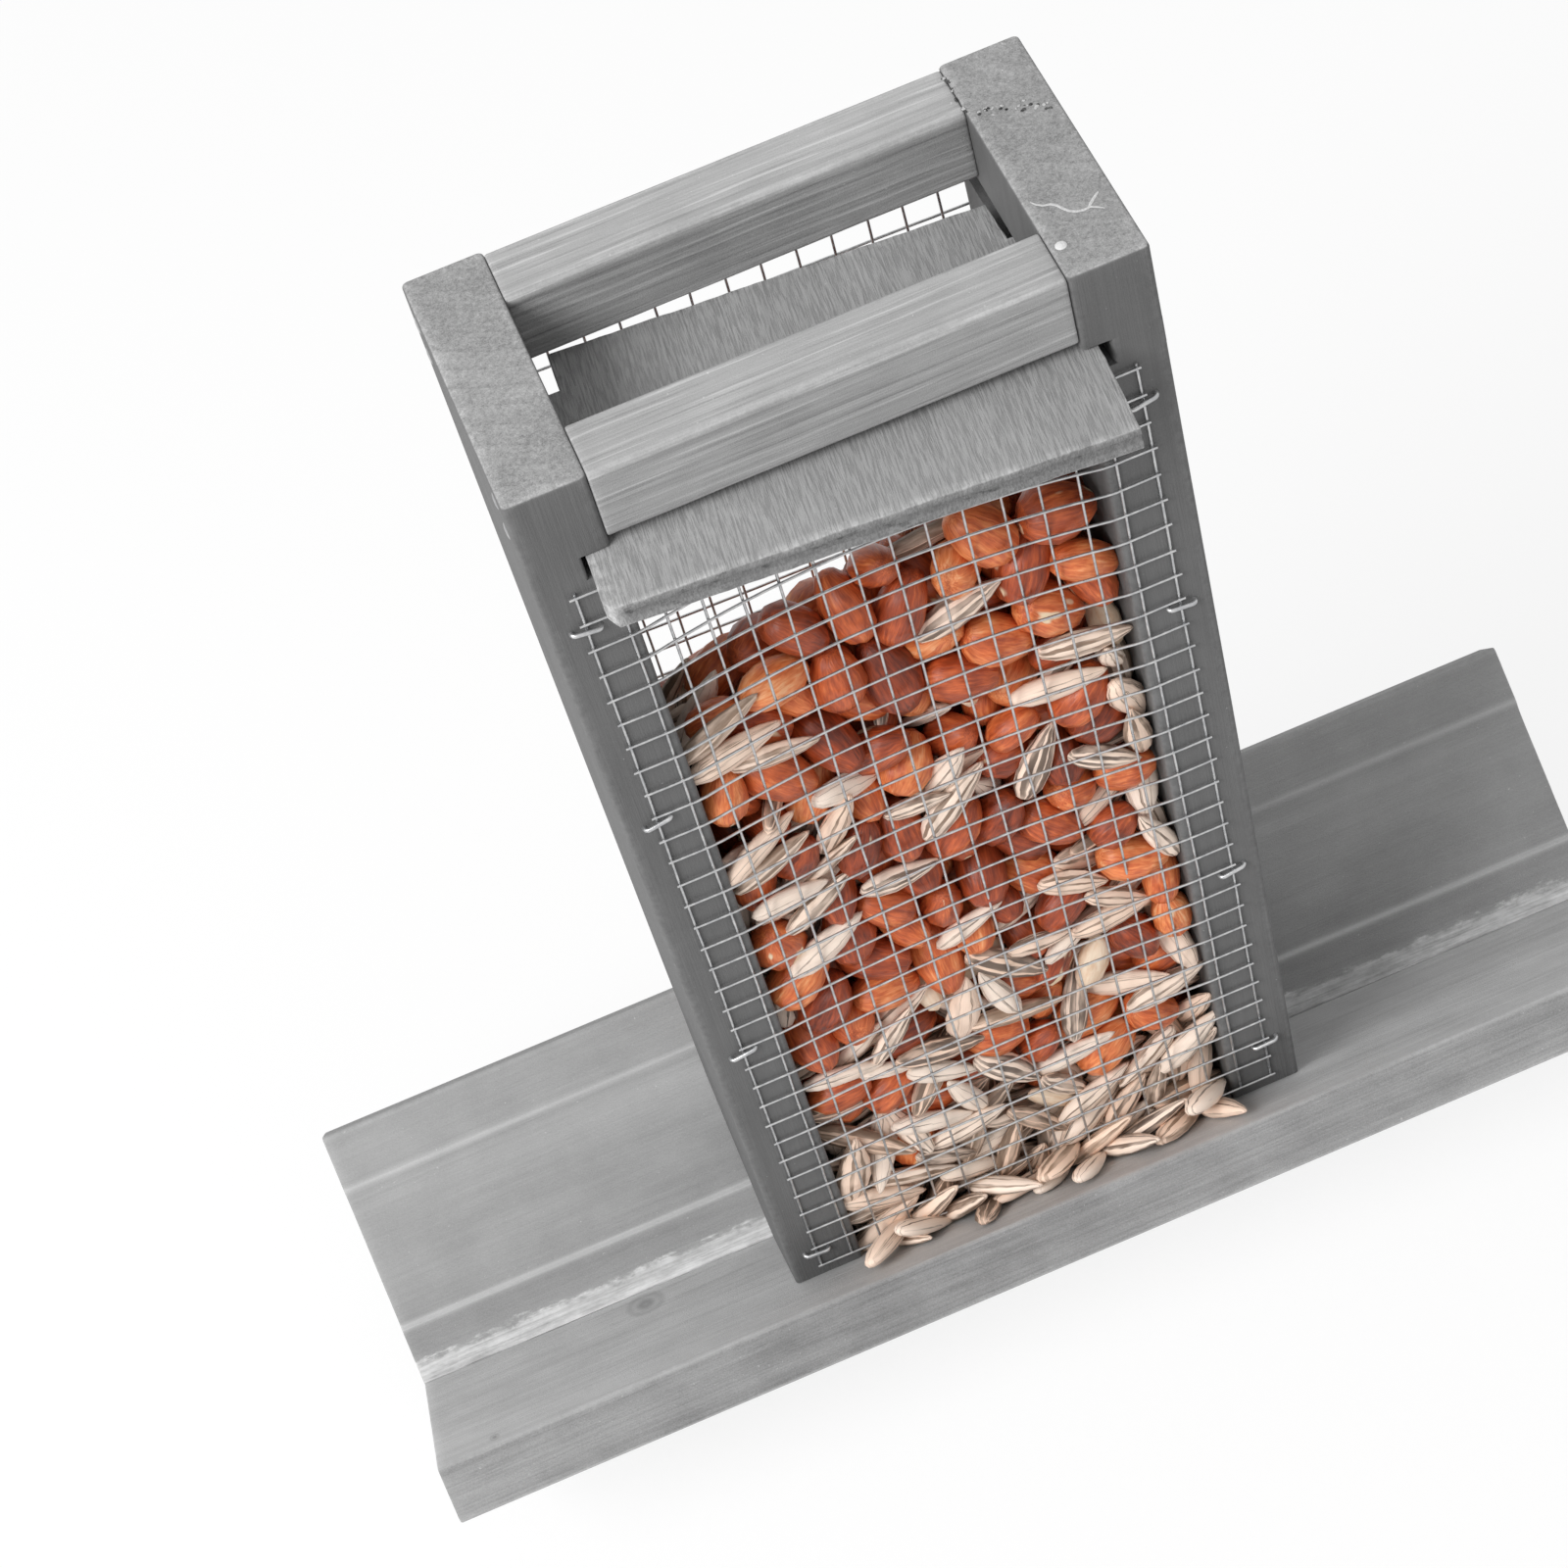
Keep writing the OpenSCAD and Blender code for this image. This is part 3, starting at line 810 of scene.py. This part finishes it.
def staple_rings(side, seed):
    """U-shaped tubes up the left edge, then up the right one, each tilted, its legs in the wood."""
    draw = np.random.default_rng(seed)
    turn = np.linspace(0, np.pi / 2, 5)
    reach = CROWN / 2 - STAPLE_R
    arc_x = reach - STAPLE_BEND + STAPLE_BEND * np.cos(turn)
    arc_h = STAPLE_PROUD - STAPLE_BEND + STAPLE_BEND * np.sin(turn)
    across = np.concatenate([[reach, reach], arc_x, -arc_x[::-1], [-reach, -reach]])
    height = np.concatenate([[-STAPLE_LEG, -2], arc_h, arc_h[::-1], [-2, -STAPLE_LEG]])
    x = np.repeat(WIRE_X[[0, -1]], 4)[:, None]
    z = MESH_FOOT + (STAPLE_ROWS + STAPLE_PLACE)[:, None] * PITCH
    tilt = np.radians(draw.uniform(-13, 13, 8))[:, None]
    lean = 1 + 0.12 * draw.uniform(-1, 1, 8)[:, None] * np.sign(across)
    y = side * (HALF_D + np.where(height > 0, height * lean, height))
    paths = grid(x + across * np.cos(tilt), y, z + across * np.sin(tilt))
    return tube(paths, STAPLE_R, grid(-np.sin(tilt), 0, np.cos(tilt)))


staple_finish = drawn_steel("staple_finish", tone=196, rough=0.34, dull=0.95)
for word, side, seed in (("front", -1, 91), ("rear", 1, 95)):
    rings = staple_rings(side, seed)
    build(f"staples_{word}", rings, f"{word}_mesh_staples", "staple_wire", staple_finish, 60)

# %% [markdown]
# ## Brads and screws
#
# Brads hold the rails and the mitre, and countersunk screws come up through the trough into the boards'
# feet. A turned profile is enough for both. The screw's head has a cross recess: its flat is a polar
# grid, and points that fall within the arms of a cross are pushed down.

# %% Fasteners
BRAD = [(0.05, -0.25), (0.6, -0.23), (1.1, -0.15), (1.45, -0.02), (1.5, 0.5), (1.4, 0.8), (0.8, 0.9),
        (0.8, 26.4), (0.05, 28)]
SCREW = [(0.08, -0.08), (0.4, -0.08), (0.8, -0.08), (1.2, -0.08), (1.7, -0.08), (2.3, -0.08), (3.2, -0.06),
         (3.45, 0.05), (1.75, 1.8), (1.75, 23.5), (0.05, 27)]
HEAD_RINGS = 7
RAIL_BRADS = -3.5, 3.5
FOOT_SCREW = 18
VALLEY_BRAD = 5 - TROUGH_T * np.tan(SLOPE)


def turned(profile, places, axis, sides=20, cross=0.0):
    """A profile of radius and depth, turned round an axis into the wood at each place. cross is how deep
    a cross is sunk into the head."""
    radius, depth = np.array(profile).T[:, :, None]
    a, b = [radius * part for part in circle(sides)]
    head = np.arange(len(radius))[:, None] < HEAD_RINGS
    arm = np.minimum(np.abs(a), np.abs(b))
    sink = head * cross * np.clip(1.5 - arm / 0.32, 0, 1) * np.clip(1.35 - np.hypot(a, b) / 2.1, 0, 1)
    first = unit(np.cross(axis, [1.0, 0.3, 0.2]))
    axes = np.stack([first, np.cross(axis, first), axis])
    return np.array(places)[:, None, None] + grid(a, b, depth + sink) @ axes


fastener_finish = drawn_steel("fastener_finish", tone=175, rough=0.4, dull=0.9)
rail_middles = [node_box(f"{word}_top_rail").mean(0) for word in ("front", "rear")]
for word, side in (("left", -1), ("right", 1)):
    outer = side * (INNER + BOARD_T)
    places = [(outer, at[1], at[2] + lift) for at in rail_middles for lift in RAIL_BRADS]
    brads = turned(BRAD, places, (-side, 0, 0))
    build(f"brads_{word}", brads, f"{word}_rail_brads", "fastener_steel", fastener_finish)
for word, side in (("front", -1), ("rear", 1)):
    board_middles = -INNER - BOARD_T / 2, INNER + BOARD_T / 2
    places = [on_trough(side, x, FOOT_SCREW, TROUGH_T) for x in board_middles]
    screws = turned(SCREW, places, (0, -side * np.sin(SLOPE), np.cos(SLOPE)), sides=48, cross=1.4)
    build(f"screws_{word}", screws, f"{word}_foot_screws", "fastener_steel", fastener_finish, 30)
places = [on_trough(1, x, VALLEY_BRAD, TROUGH_T) for x in (-105, -INNER / 2, INNER / 2, 105)]
brads = turned(BRAD, places, (0, -np.sin(SLOPE), np.cos(SLOPE)))
build("brads_valley", brads, "valley_brads", "fastener_steel", fastener_finish)

# %% [markdown]
# ## Feed
#
# Hundreds of peanuts and striped sunflower seeds have to lie close together and hardly cut into each
# other. A simulation could drop them, but a relaxation is faster and always ends the same: seeds start
# at evenly spread places, each stands for a small cluster of balls, and balls that overlap or stick out
# of the silo push their seeds apart and turn them, again and again.

# %% Where the seeds start
draw = np.random.default_rng(2024)
HEAP_MIDDLE = 160.5
HEAP_RISE = 0.249
HEAP_FALL = 1.228
SPREAD_ROOT = 1.2207440846
SPREAD_HIGH = 205
BANDS = (
    (-38, 168, 4, 14, 0.6), (14, 192, 8, 6, 0.7), (28, 147, 9, 6, 0.7),
    (-28, 133, 14, 6, 0.75), (2, 129, 16, 6, 0.8), (35, 122, 6, 10, 0.6), (-31, 113, 11, 11, 0.8),
    (34, 103, 8, 9, 0.7), (24, 80, 14, 8, 0.85), (-37, 90, 5, 10, 0.7), (-24, 75, 14, 8, 0.85),
    (0, 68, 6, 9, 0.7), (-22, 58, 14, 9, 0.8), (35, 58, 6, 12, 0.75), (14, 52, 12, 6, 0.6),
)
heap_up = np.array([-HEAP_RISE, HEAP_FALL, 1.0]) / np.hypot(np.hypot(HEAP_RISE, HEAP_FALL), 1)


def heap_top(x, y):
    """The height of the feed: a plane that rises to the right and falls to the rear."""
    return FOOT + HEAP_MIDDLE + HEAP_RISE * x - HEAP_FALL * y


def spread(count, skip):
    """Evenly spread places: a Kronecker sequence, whose steps are powers of one irrational number."""
    step = 1 / SPREAD_ROOT ** np.arange(1, 4)
    share = (0.5 + (skip + np.arange(count))[:, None] * step) % 1
    low = np.array([-INNER, -HALF_D, VALLEY])
    high = np.array([INNER, HALF_D, FOOT + SPREAD_HIGH])
    return low + share * (high - low)


def sunflower_share(places):
    """The share of sunflower seeds: nearly all near the foot, few higher up, and bands. A band is a soft
    oval: middle x and z, half width, half height, share. It lies where it is seen from above, so deeper
    seeds count as higher ones."""
    x, y, z = places.T
    deep = np.minimum(y + HALF_D, 14)
    x, up = x - 0.1 * deep, z - FOOT + 1.24 * deep
    share = 0.02 + 0.06 / (1 + np.exp((up - 145) / 5)) + 0.82 / (1 + np.exp((up - 37 + 0.15 * x) / 6))
    for x0, z0, wide, high, much in BANDS:
        share = np.maximum(share, much * np.exp(-(((x - x0) / wide) ** 2) - ((up - z0) / high) ** 2))
    return np.clip(share, 0, 0.92)


def inside(points, room):
    """True where a place lies in the feed's space, at least room from its walls."""
    x, y, z = points.T
    wall = np.abs(x) < INNER - room
    front = (y > bow(x, z, -1) - HALF_D + room) & (y < HALF_D - room)
    floor = z > VALLEY + np.abs(y) * np.tan(SLOPE) + room / np.cos(SLOPE)
    return wall & front & floor & ((z - heap_top(x, y)) * heap_up[2] < -room)


def chosen(places, room, sunflower):
    """The places in the feed's space that fall to one kind of seed, drawn by its share there."""
    drawn = draw.random(len(places)) < sunflower_share(places)
    return places[inside(places, room) & (drawn == sunflower)]


peanut_at = chosen(spread(1460, skip=3), room=3.6, sunflower=False)
sunflower_at = chosen(spread(4400, skip=5000), room=1.6, sunflower=True)
print("peanuts", len(peanut_at), "sunflower seeds", len(sunflower_at))

# %% Toes of the heap
TOE = 17
toe_x = np.linspace(-36, 36, TOE) + draw.uniform(-1.5, 1.5, TOE)
toe_y = -draw.uniform(28.5, 31.5, TOE)
toe_at = np.stack([toe_x, toe_y, VALLEY - toe_y * np.tan(SLOPE) + 2.2], 1)
sunflower_at = np.concatenate([sunflower_at, toe_at, toe_at * [-1, -1, 1]])
centre = np.concatenate([peanut_at, sunflower_at])
is_sunflower = np.arange(len(centre)) >= len(peanut_at)
on_toe = np.arange(len(centre)) >= len(centre) - 2 * TOE
print("seeds in all", len(centre), "of them", 2 * TOE, "lie on the trough's slopes")

# %% Balls that stand for the seeds
PEANUT_BALLS = [(-2.7, 0, 3.9), (0.2, 0, 4.3), (3.1, 0, 3.5)]
SUNFLOWER_BALLS = [
    (-5.9, 0, 1.45), (-3.0, -1.15, 1.65), (-3.0, 1.15, 1.65), (0.5, -1.3, 1.7), (0.5, 1.3, 1.7),
    (4.0, 0, 1.65), (6.7, 0, 1.0),
]
FLATNESS = 0.7


def starting_turn(points):
    """Long and wide axes: near the meshes a seed lies about in the mesh's plane, deeper it lies anyhow."""
    count = len(points)
    tilt = np.radians(draw.normal(24, 42, count))
    long = np.stack([np.cos(tilt), draw.normal(0, 0.2, count), np.sin(tilt)], 1)
    deep = np.clip(1.6 - np.abs(points[:, 1]) / 14, 0, 1)[:, None]
    long = unit(long + deep * draw.normal(0, 0.5, (count, 3)))
    face = np.array([0.0, 1.0, 0.0]) + (deep + 1 - FLATNESS) * draw.normal(0, 0.55, (count, 3))
    return long, unit(np.cross(face, long))


def toe_turn(points):
    """Long and wide axes of the seeds that lie flat on the trough's slopes."""
    out = np.sign(points[:, 1])
    normal = grid(0.0, -out * np.sin(SLOPE), np.cos(SLOPE))
    down = grid(0.0, out * np.cos(SLOPE), np.sin(SLOPE))
    turn = np.radians(draw.uniform(-60, 60, len(points)))[:, None]
    long = np.cos(turn) * np.array([1.0, 0, 0]) + np.sin(turn) * down
    return long, np.cross(normal, long)


size = 1 + 0.09 * np.clip(draw.normal(0, 1, len(centre)), -2, 2)
long_axis, wide_axis = starting_turn(centre)
long_axis[on_toe], wide_axis[on_toe] = toe_turn(centre[on_toe])
balls = [SUNFLOWER_BALLS if flat else PEANUT_BALLS for flat in is_sunflower]
seed_of = np.repeat(np.arange(len(centre)), [len(cluster) for cluster in balls])
ball = np.concatenate(balls) * size[seed_of][:, None]
print("balls", len(ball))

# %% Relaxation
ROUNDS = 140
SEARCH_EVERY = 8
SEARCH_REACH = 1.6
SLICE = 400
WIDEST_PAIR = 10
MOVE_GAIN = 1.5
SPIN_GAIN = 0.8
SPIN_EASE = 12
STEEP = 0.25
SINK = 0.12


def near_pairs(at, radius):
    """Pairs of balls of different seeds whose gap is within reach, found slice by slice along Z."""
    order = np.argsort(at[:, 2])
    height = at[order, 2]
    found = []
    for start in range(0, len(order), SLICE):
        mine = order[start : start + SLICE]
        stop = np.searchsorted(height, at[mine, 2].max() + WIDEST_PAIR + SEARCH_REACH)
        others = order[start:stop]
        gap = np.linalg.norm(at[mine][:, None] - at[others], axis=2)
        close = gap < radius[mine][:, None] + radius[others] + SEARCH_REACH
        close &= seed_of[mine][:, None] != seed_of[others]
        close &= np.arange(len(mine))[:, None] < np.arange(len(others))
        a, b = np.nonzero(close)
        found.append(np.stack([mine[a], others[b]]))
    return np.concatenate(found, 1)


def wall_push(at, radius):
    """How far each ball has to move to be off the side walls, the trough and, apart from the toes, the
    meshes, and below the heap's top."""
    x, y, z = at.T
    push = np.zeros_like(at)
    push[:, 0] = -np.sign(x) * np.maximum(np.abs(x) + radius - INNER, 0)
    room = HALF_D - 0.15 - np.where(y < 0, bow(x, z, -1), 0)
    push[:, 1] = -np.sign(y) * np.maximum(np.abs(y) + radius - room, 0) * ~on_toe[seed_of]
    sunk = np.maximum((VALLEY + np.abs(y) * np.tan(SLOPE) - z) * np.cos(SLOPE) + radius, 0)
    push[:, 1] -= np.sign(y) * np.sin(SLOPE) * sunk
    push[:, 2] += np.cos(SLOPE) * sunk
    over = np.maximum((z - heap_top(x, y)) * heap_up[2] + radius, 0)
    return push - 0.5 * over[:, None] * heap_up


def gather(index, values, count):
    """Sums rows of values by index."""
    return np.stack([np.bincount(index, values[:, k], count) for k in range(3)], 1)


def relax(centre, long_axis, wide_axis):
    """Moves and turns the seeds until their balls hardly overlap. A pair shares its overlap, and a seed
    takes the mean of its balls' moves and turns by arm x move over the arms' squares. A seed that rests
    in fewer than two places, on others or on the trough, sinks a little each round."""
    count, radius = len(centre), ball[:, 2]
    for step in range(ROUNDS):
        arm = ball[:, :1] * long_axis[seed_of] + ball[:, 1:2] * wide_axis[seed_of]
        at = centre[seed_of] + arm
        if step % SEARCH_EVERY == 0:
            first, second = near_pairs(at, radius)
        apart = at[second] - at[first]
        gap = np.maximum(np.linalg.norm(apart, axis=1), 1e-6)
        over = np.maximum(radius[first] + radius[second] - gap, 0)
        share = (0.5 * over / gap)[:, None] * apart
        wall = wall_push(at, radius)
        move = gather(second, share, len(at)) - gather(first, share, len(at)) + wall
        touch = np.bincount(first, over > 0, len(at)) + np.bincount(second, over > 0, len(at))
        touch = touch + (np.abs(wall).max(1) > 0)
        hits = np.maximum(np.bincount(seed_of, touch, count), 1)[:, None]
        centre = centre + MOVE_GAIN * gather(seed_of, move, count) / hits
        steep = (over > 0) * apart[:, 2] / gap
        rest = np.bincount(seed_of, wall[:, 2] > 0, count)
        rest += np.bincount(seed_of[second], steep > STEEP, count)
        rest += np.bincount(seed_of[first], steep < -STEEP, count)
        centre[rest < 2, 2] -= SINK
        spin = gather(seed_of, np.cross(arm, move), count)
        spin = SPIN_GAIN * spin / (np.bincount(seed_of, (arm**2).sum(1), count)[:, None] + SPIN_EASE)
        long_axis = unit(long_axis + np.cross(spin, long_axis))
        wide_axis = wide_axis + np.cross(spin, wide_axis)
        wide_axis = unit(wide_axis - (wide_axis * long_axis).sum(1, keepdims=True) * long_axis)
    print("overlap: mean", over[over > 0].mean().round(2), "most", over.max().round(2))
    print("seeds that still sink", (rest < 2).sum())
    return centre, long_axis, wide_axis


centre, long_axis, wide_axis = relax(centre, long_axis, wide_axis)

# %% [markdown]
# ## Seed shapes and finishes
#
# Each seed is a small closed grid: rings round its long axis between two pole points. A peanut is a
# plump oval, fuller at one end, a sunflower seed a flat drop, and a bare kernel a slimmer or flatter
# oval. The points carry where they lie on their seed, which the finishes use for stripes and wrinkles.

# %% Seed meshes
PEANUT = np.array([13.4, 9.0, 8.5])
SUNFLOWER = np.array([17.2, 5.8, 3.4])


def seed_mesh(which, form, rings, sides):
    """One kind's grid on each seed, swollen by a slow wave. The points carry their place on the seed and
    one random number per seed."""
    t = -np.cos(np.pi * np.arange(1, rings + 1) / (rings + 1))
    along = np.pad(np.repeat(t, sides), 1, constant_values=(-1, 1))
    cosine, sine = [np.pad(np.tile(part, rings), 1) for part in circle(sides)]
    wide, thick = [np.pad(np.repeat(part, sides), 1) for part in form(t)]
    phase = draw.uniform(0, 6.3, (len(which), 1))
    swell = 1 + 0.06 * np.sin(phase + 2.2 * along + 2 * np.arctan2(sine, cosine))
    curve = draw.normal(0, 0.05, (len(which), 1)) * along**2
    local = grid(along, wide * cosine * swell + curve, thick * sine * swell)
    long, across = long_axis[which], wide_axis[which]
    axes = np.stack([long, across, np.cross(long, across)], 1)
    points = centre[which][:, None] + (dims_of[which][:, None] / 2 * local) @ axes
    last = rings * sides + 1
    base = (np.arange(len(which)) * (last + 1))[:, None, None]
    index = base + 1 + np.arange(rings * sides).reshape(rings, sides)
    after = np.roll(index, -1, 2)
    tips = [grid(base[:, 0], after[:, 0], index[:, 0]), grid(base[:, 0] + last, index[:, -1], after[:, -1])]
    faces = quads(index) + np.concatenate(tips, 1).reshape(-1, 3).tolist()
    return points, faces, {"skin": grid(along, cosine, sine)[None], "tone": draw.random((len(which), 1))}


def peanut_form(t):
    """Half width and half thickness of an oval that is fuller towards one end."""
    oval = np.sqrt(1 - t**2) ** 0.86 * (1 - 0.14 * t)
    return oval, oval


def sunflower_form(t):
    """A drop: rounded at one end, drawn to a point at the other."""
    drop = np.sin(np.pi * ((1 + t) / 2) ** 0.74) ** 0.72
    return drop, drop**0.8


def kernel_form(t):
    """An oval with blunt ends."""
    oval = np.sqrt(1 - t**2) ** 0.85
    return oval, oval


dims_of = np.where(is_sunflower[:, None], SUNFLOWER, PEANUT) * size[:, None]
dims_of = dims_of * (1 + 0.06 * np.clip(draw.normal(0, 1, dims_of.shape), -2, 2))
bare = (draw.random(len(centre)) < np.where(is_sunflower, 0.03, 0.05)) & ~on_toe
dims_of[bare & ~is_sunflower] *= [1.0, 0.72, 0.55]
dims_of[bare & is_sunflower] *= [0.7, 0.85, 1.0]
print("bare kernels", bare.sum(), "longest seed", dims_of[:, 0].max().round(1), "mm")


# %% Seed finishes
def shuffled(tone, by):
    """A second random number per seed, made from the first."""
    return (tone * by).math("FRACT")


def own_place(finish, x, y, z):
    """The place on the seed, stretched, and moved so that no two seeds are alike."""
    tone = finish.value("tone")
    offset = tone.node("ShaderNodeCombineXYZ", None, {0: tone * 37, 1: tone * 53, 2: tone * 71})
    return finish.value("skin", "Vector").stretch(x, y, z).shift(offset)


def peanut_skin():
    """Papery skin, red brown to orange brown, with veins and clouds. A few seeds show pale flesh."""
    skin = Finish("peanut_skin")
    tone = skin.value("tone")
    veins = own_place(skin, 1.1, 4.5, 4.5).noise(1.7, 4.0, 0.62)
    cloud = own_place(skin, 0.9, 1.1, 1.1).noise(1.2, 3.0, 0.6)
    lift = shuffled(tone, 9.7) * 0.66 + (veins - 0.5) * 0.95 + (cloud - 0.5) * 1.0 + 0.15
    stops = [
        (0.0, (0.14, 0.02, 0.006)), (0.33, (0.38, 0.065, 0.019)), (0.6, (0.63, 0.135, 0.038)),
        (0.82, (0.84, 0.27, 0.09)), (1.0, (0.95, 0.48, 0.24)),
    ]
    colour = lift.node("ShaderNodeValToRGB", {"stops": stops}, {"Fac": lift})
    torn = own_place(skin, 0.55, 0.7, 0.7).noise(1.0, 2.0).rise(0.65, 0.68) * (tone > 0.55)
    skin.set(Base_Color=torn.mix(colour, (0.88, 0.7, 0.48, 1)), Roughness=0.36 + (veins - 0.5) * 0.3)
    return skin.bump(veins * 0.6 + cloud * 0.4, 0.6, 0.5)


def sunflower_shell():
    """A pale shell with grey brown stripes along it, whose number and tone differ by seed."""
    shell = Finish("sunflower_shell")
    tone = shell.value("tone")
    along, across = shell.value("skin", "Vector").parts()[:2]
    wobble = own_place(shell, 1.2, 1.6, 1.6).noise(1.3, 2.0) - 0.5
    phase = across * (7 + shuffled(tone, 5.3) * 5) + shuffled(tone, 17.1) * 20 + wobble * 3.0
    fine = own_place(shell, 0.35, 9, 9).noise(1.6, 3.0, 0.6) - 0.5
    bias = shuffled(tone, 7.3) ** 2 * 2.0 - 0.72
    stripe = (phase.math("SINE") + bias + fine * 1.7).rise(0.12, 0.5)
    worn = own_place(shell, 1.0, 1.0, 1.0).noise(1.4, 2.0).rise(0.3, 0.6)
    tip = along.math("ABSOLUTE").rise(0.8, 1.0)
    dark_share = stripe * (0.4 + worn * 0.55) * (1 - tip * 0.5)
    pale = shuffled(tone, 3.7).mix((1.0, 0.85, 0.73, 1), (0.97, 0.71, 0.55, 1))
    pale = pale.vector("SCALE", {"Scale": 1 + fine * 0.3})
    dark = shuffled(tone, 11.9).mix((0.1, 0.07, 0.053, 1), (0.29, 0.185, 0.12, 1))
    shell.set(Base_Color=dark_share.mix(pale, dark), Roughness=0.46 + fine * 0.2)
    return shell.bump(fine + stripe * 0.35 + 0.5, 0.3, 0.45)


def bare_kernel():
    """Skinned peanuts and shelled sunflower hearts: cream, with faint ochre patches."""
    flesh = Finish("bare_kernel")
    patch = own_place(flesh, 0.8, 1.0, 1.0).noise(1.5, 3.0, 0.6)
    colour = patch.rise(0.35, 0.8).mix((0.95, 0.79, 0.62, 1), (0.76, 0.48, 0.28, 1))
    flesh.set(Base_Color=colour, Roughness=0.42 + (patch - 0.5) * 0.2)
    return flesh.bump(own_place(flesh, 1.5, 4, 4).noise(1.5, 3.0), 0.2, 0.4)


print("finishes for skins, shells and bare kernels")

# %% Seeds
KINDS = (
    ("peanuts", ~is_sunflower & ~bare, peanut_form, 6, 10, peanut_skin()),
    ("sunflower_seeds", is_sunflower & ~bare, sunflower_form, 6, 8, sunflower_shell()),
    ("bare_kernels", bare, kernel_form, 5, 10, bare_kernel()),
)
for name, mask, form, rings, sides, seed_finish in KINDS:
    points, faces, values = seed_mesh(np.flatnonzero(mask), form, rings, sides)
    build(name, points, "seed_fill", "feed", seed_finish, 80, faces=faces, **values)

# %% [markdown]
# ## Stage and light
#
# The picture is a plain studio shot on white. Floor and world show white to the camera and to
# reflections, and the floor mixes in its lit surface so that a soft shadow stays. One large lamp at the
# upper left is the main light, and the world's even light, weaker than it looks, fills the shadows.

# %% Floor
FLOOR = 4.0
GLOW = 0.82


def seen_rays(tree):
    """1 on rays from the camera, in a reflection or through glass, and 0 on rays that carry light."""
    kinds = "Camera", "Glossy", "Transmission"
    rays = [Term(tree).node("ShaderNodeLightPath", out=f"Is {kind} Ray") for kind in kinds]
    return (rays[0] + rays[1] + rays[2]).math("MINIMUM", 1.0)


floor_mesh = bpy.data.meshes.new("floor")
corners = [(-FLOOR, -FLOOR, 0), (FLOOR, -FLOOR, 0), (FLOOR, FLOOR, 0), (-FLOOR, FLOOR, 0)]
floor_mesh.from_pydata(corners, [], [(0, 1, 2, 3)])
floor = add("floor", floor_mesh)
floor_finish = Finish("floor_finish").set(Base_Color=(0.9, 0.9, 0.9, 1), Roughness=0.9)
seen = seen_rays(floor_finish.tree)
glow = seen.node("ShaderNodeEmission", None, {"Color": (1, 1, 1, 1), "Strength": 1.0})
lit = Term(floor_finish.tree, floor_finish.shader.outputs[0])
surface = seen.node("ShaderNodeMixShader", None, {0: seen * GLOW, 1: lit, 2: glow})
fill(floor_finish.tree, floor_finish.tree.nodes["Material Output"].inputs[0], surface)
floor_mesh.materials.append(floor_finish.material)
print("floor", 2 * FLOOR, "m wide")

# %% Lamps
FILL = 0.6
KEY_PLACE = np.array([-950.0, -500.0, 1100.0])
KEY_TARGET = np.array([0.0, 0.0, 150.0])
KEY_SIZE = 0.7
KEY_POWER = 17.5

world = bpy.data.worlds.new("studio")
bpy.context.scene.world = world
world.use_nodes = True
background = world.node_tree.nodes["Background"].inputs
background["Color"].default_value = (1, 1, 1, 1)
fill(world.node_tree, background["Strength"], FILL + (1 - FILL) * seen_rays(world.node_tree))
key = bpy.data.lights.new("key", "AREA")
key.size, key.energy = KEY_SIZE, KEY_POWER
key_back = unit(KEY_PLACE - KEY_TARGET)
aim(add("key", key), KEY_PLACE, unit(np.cross([0, 0, 1.0], key_back)), key_back)
bpy.context.scene.view_settings.view_transform = "Standard"
print("one key lamp of", KEY_POWER, "W and an even white world")
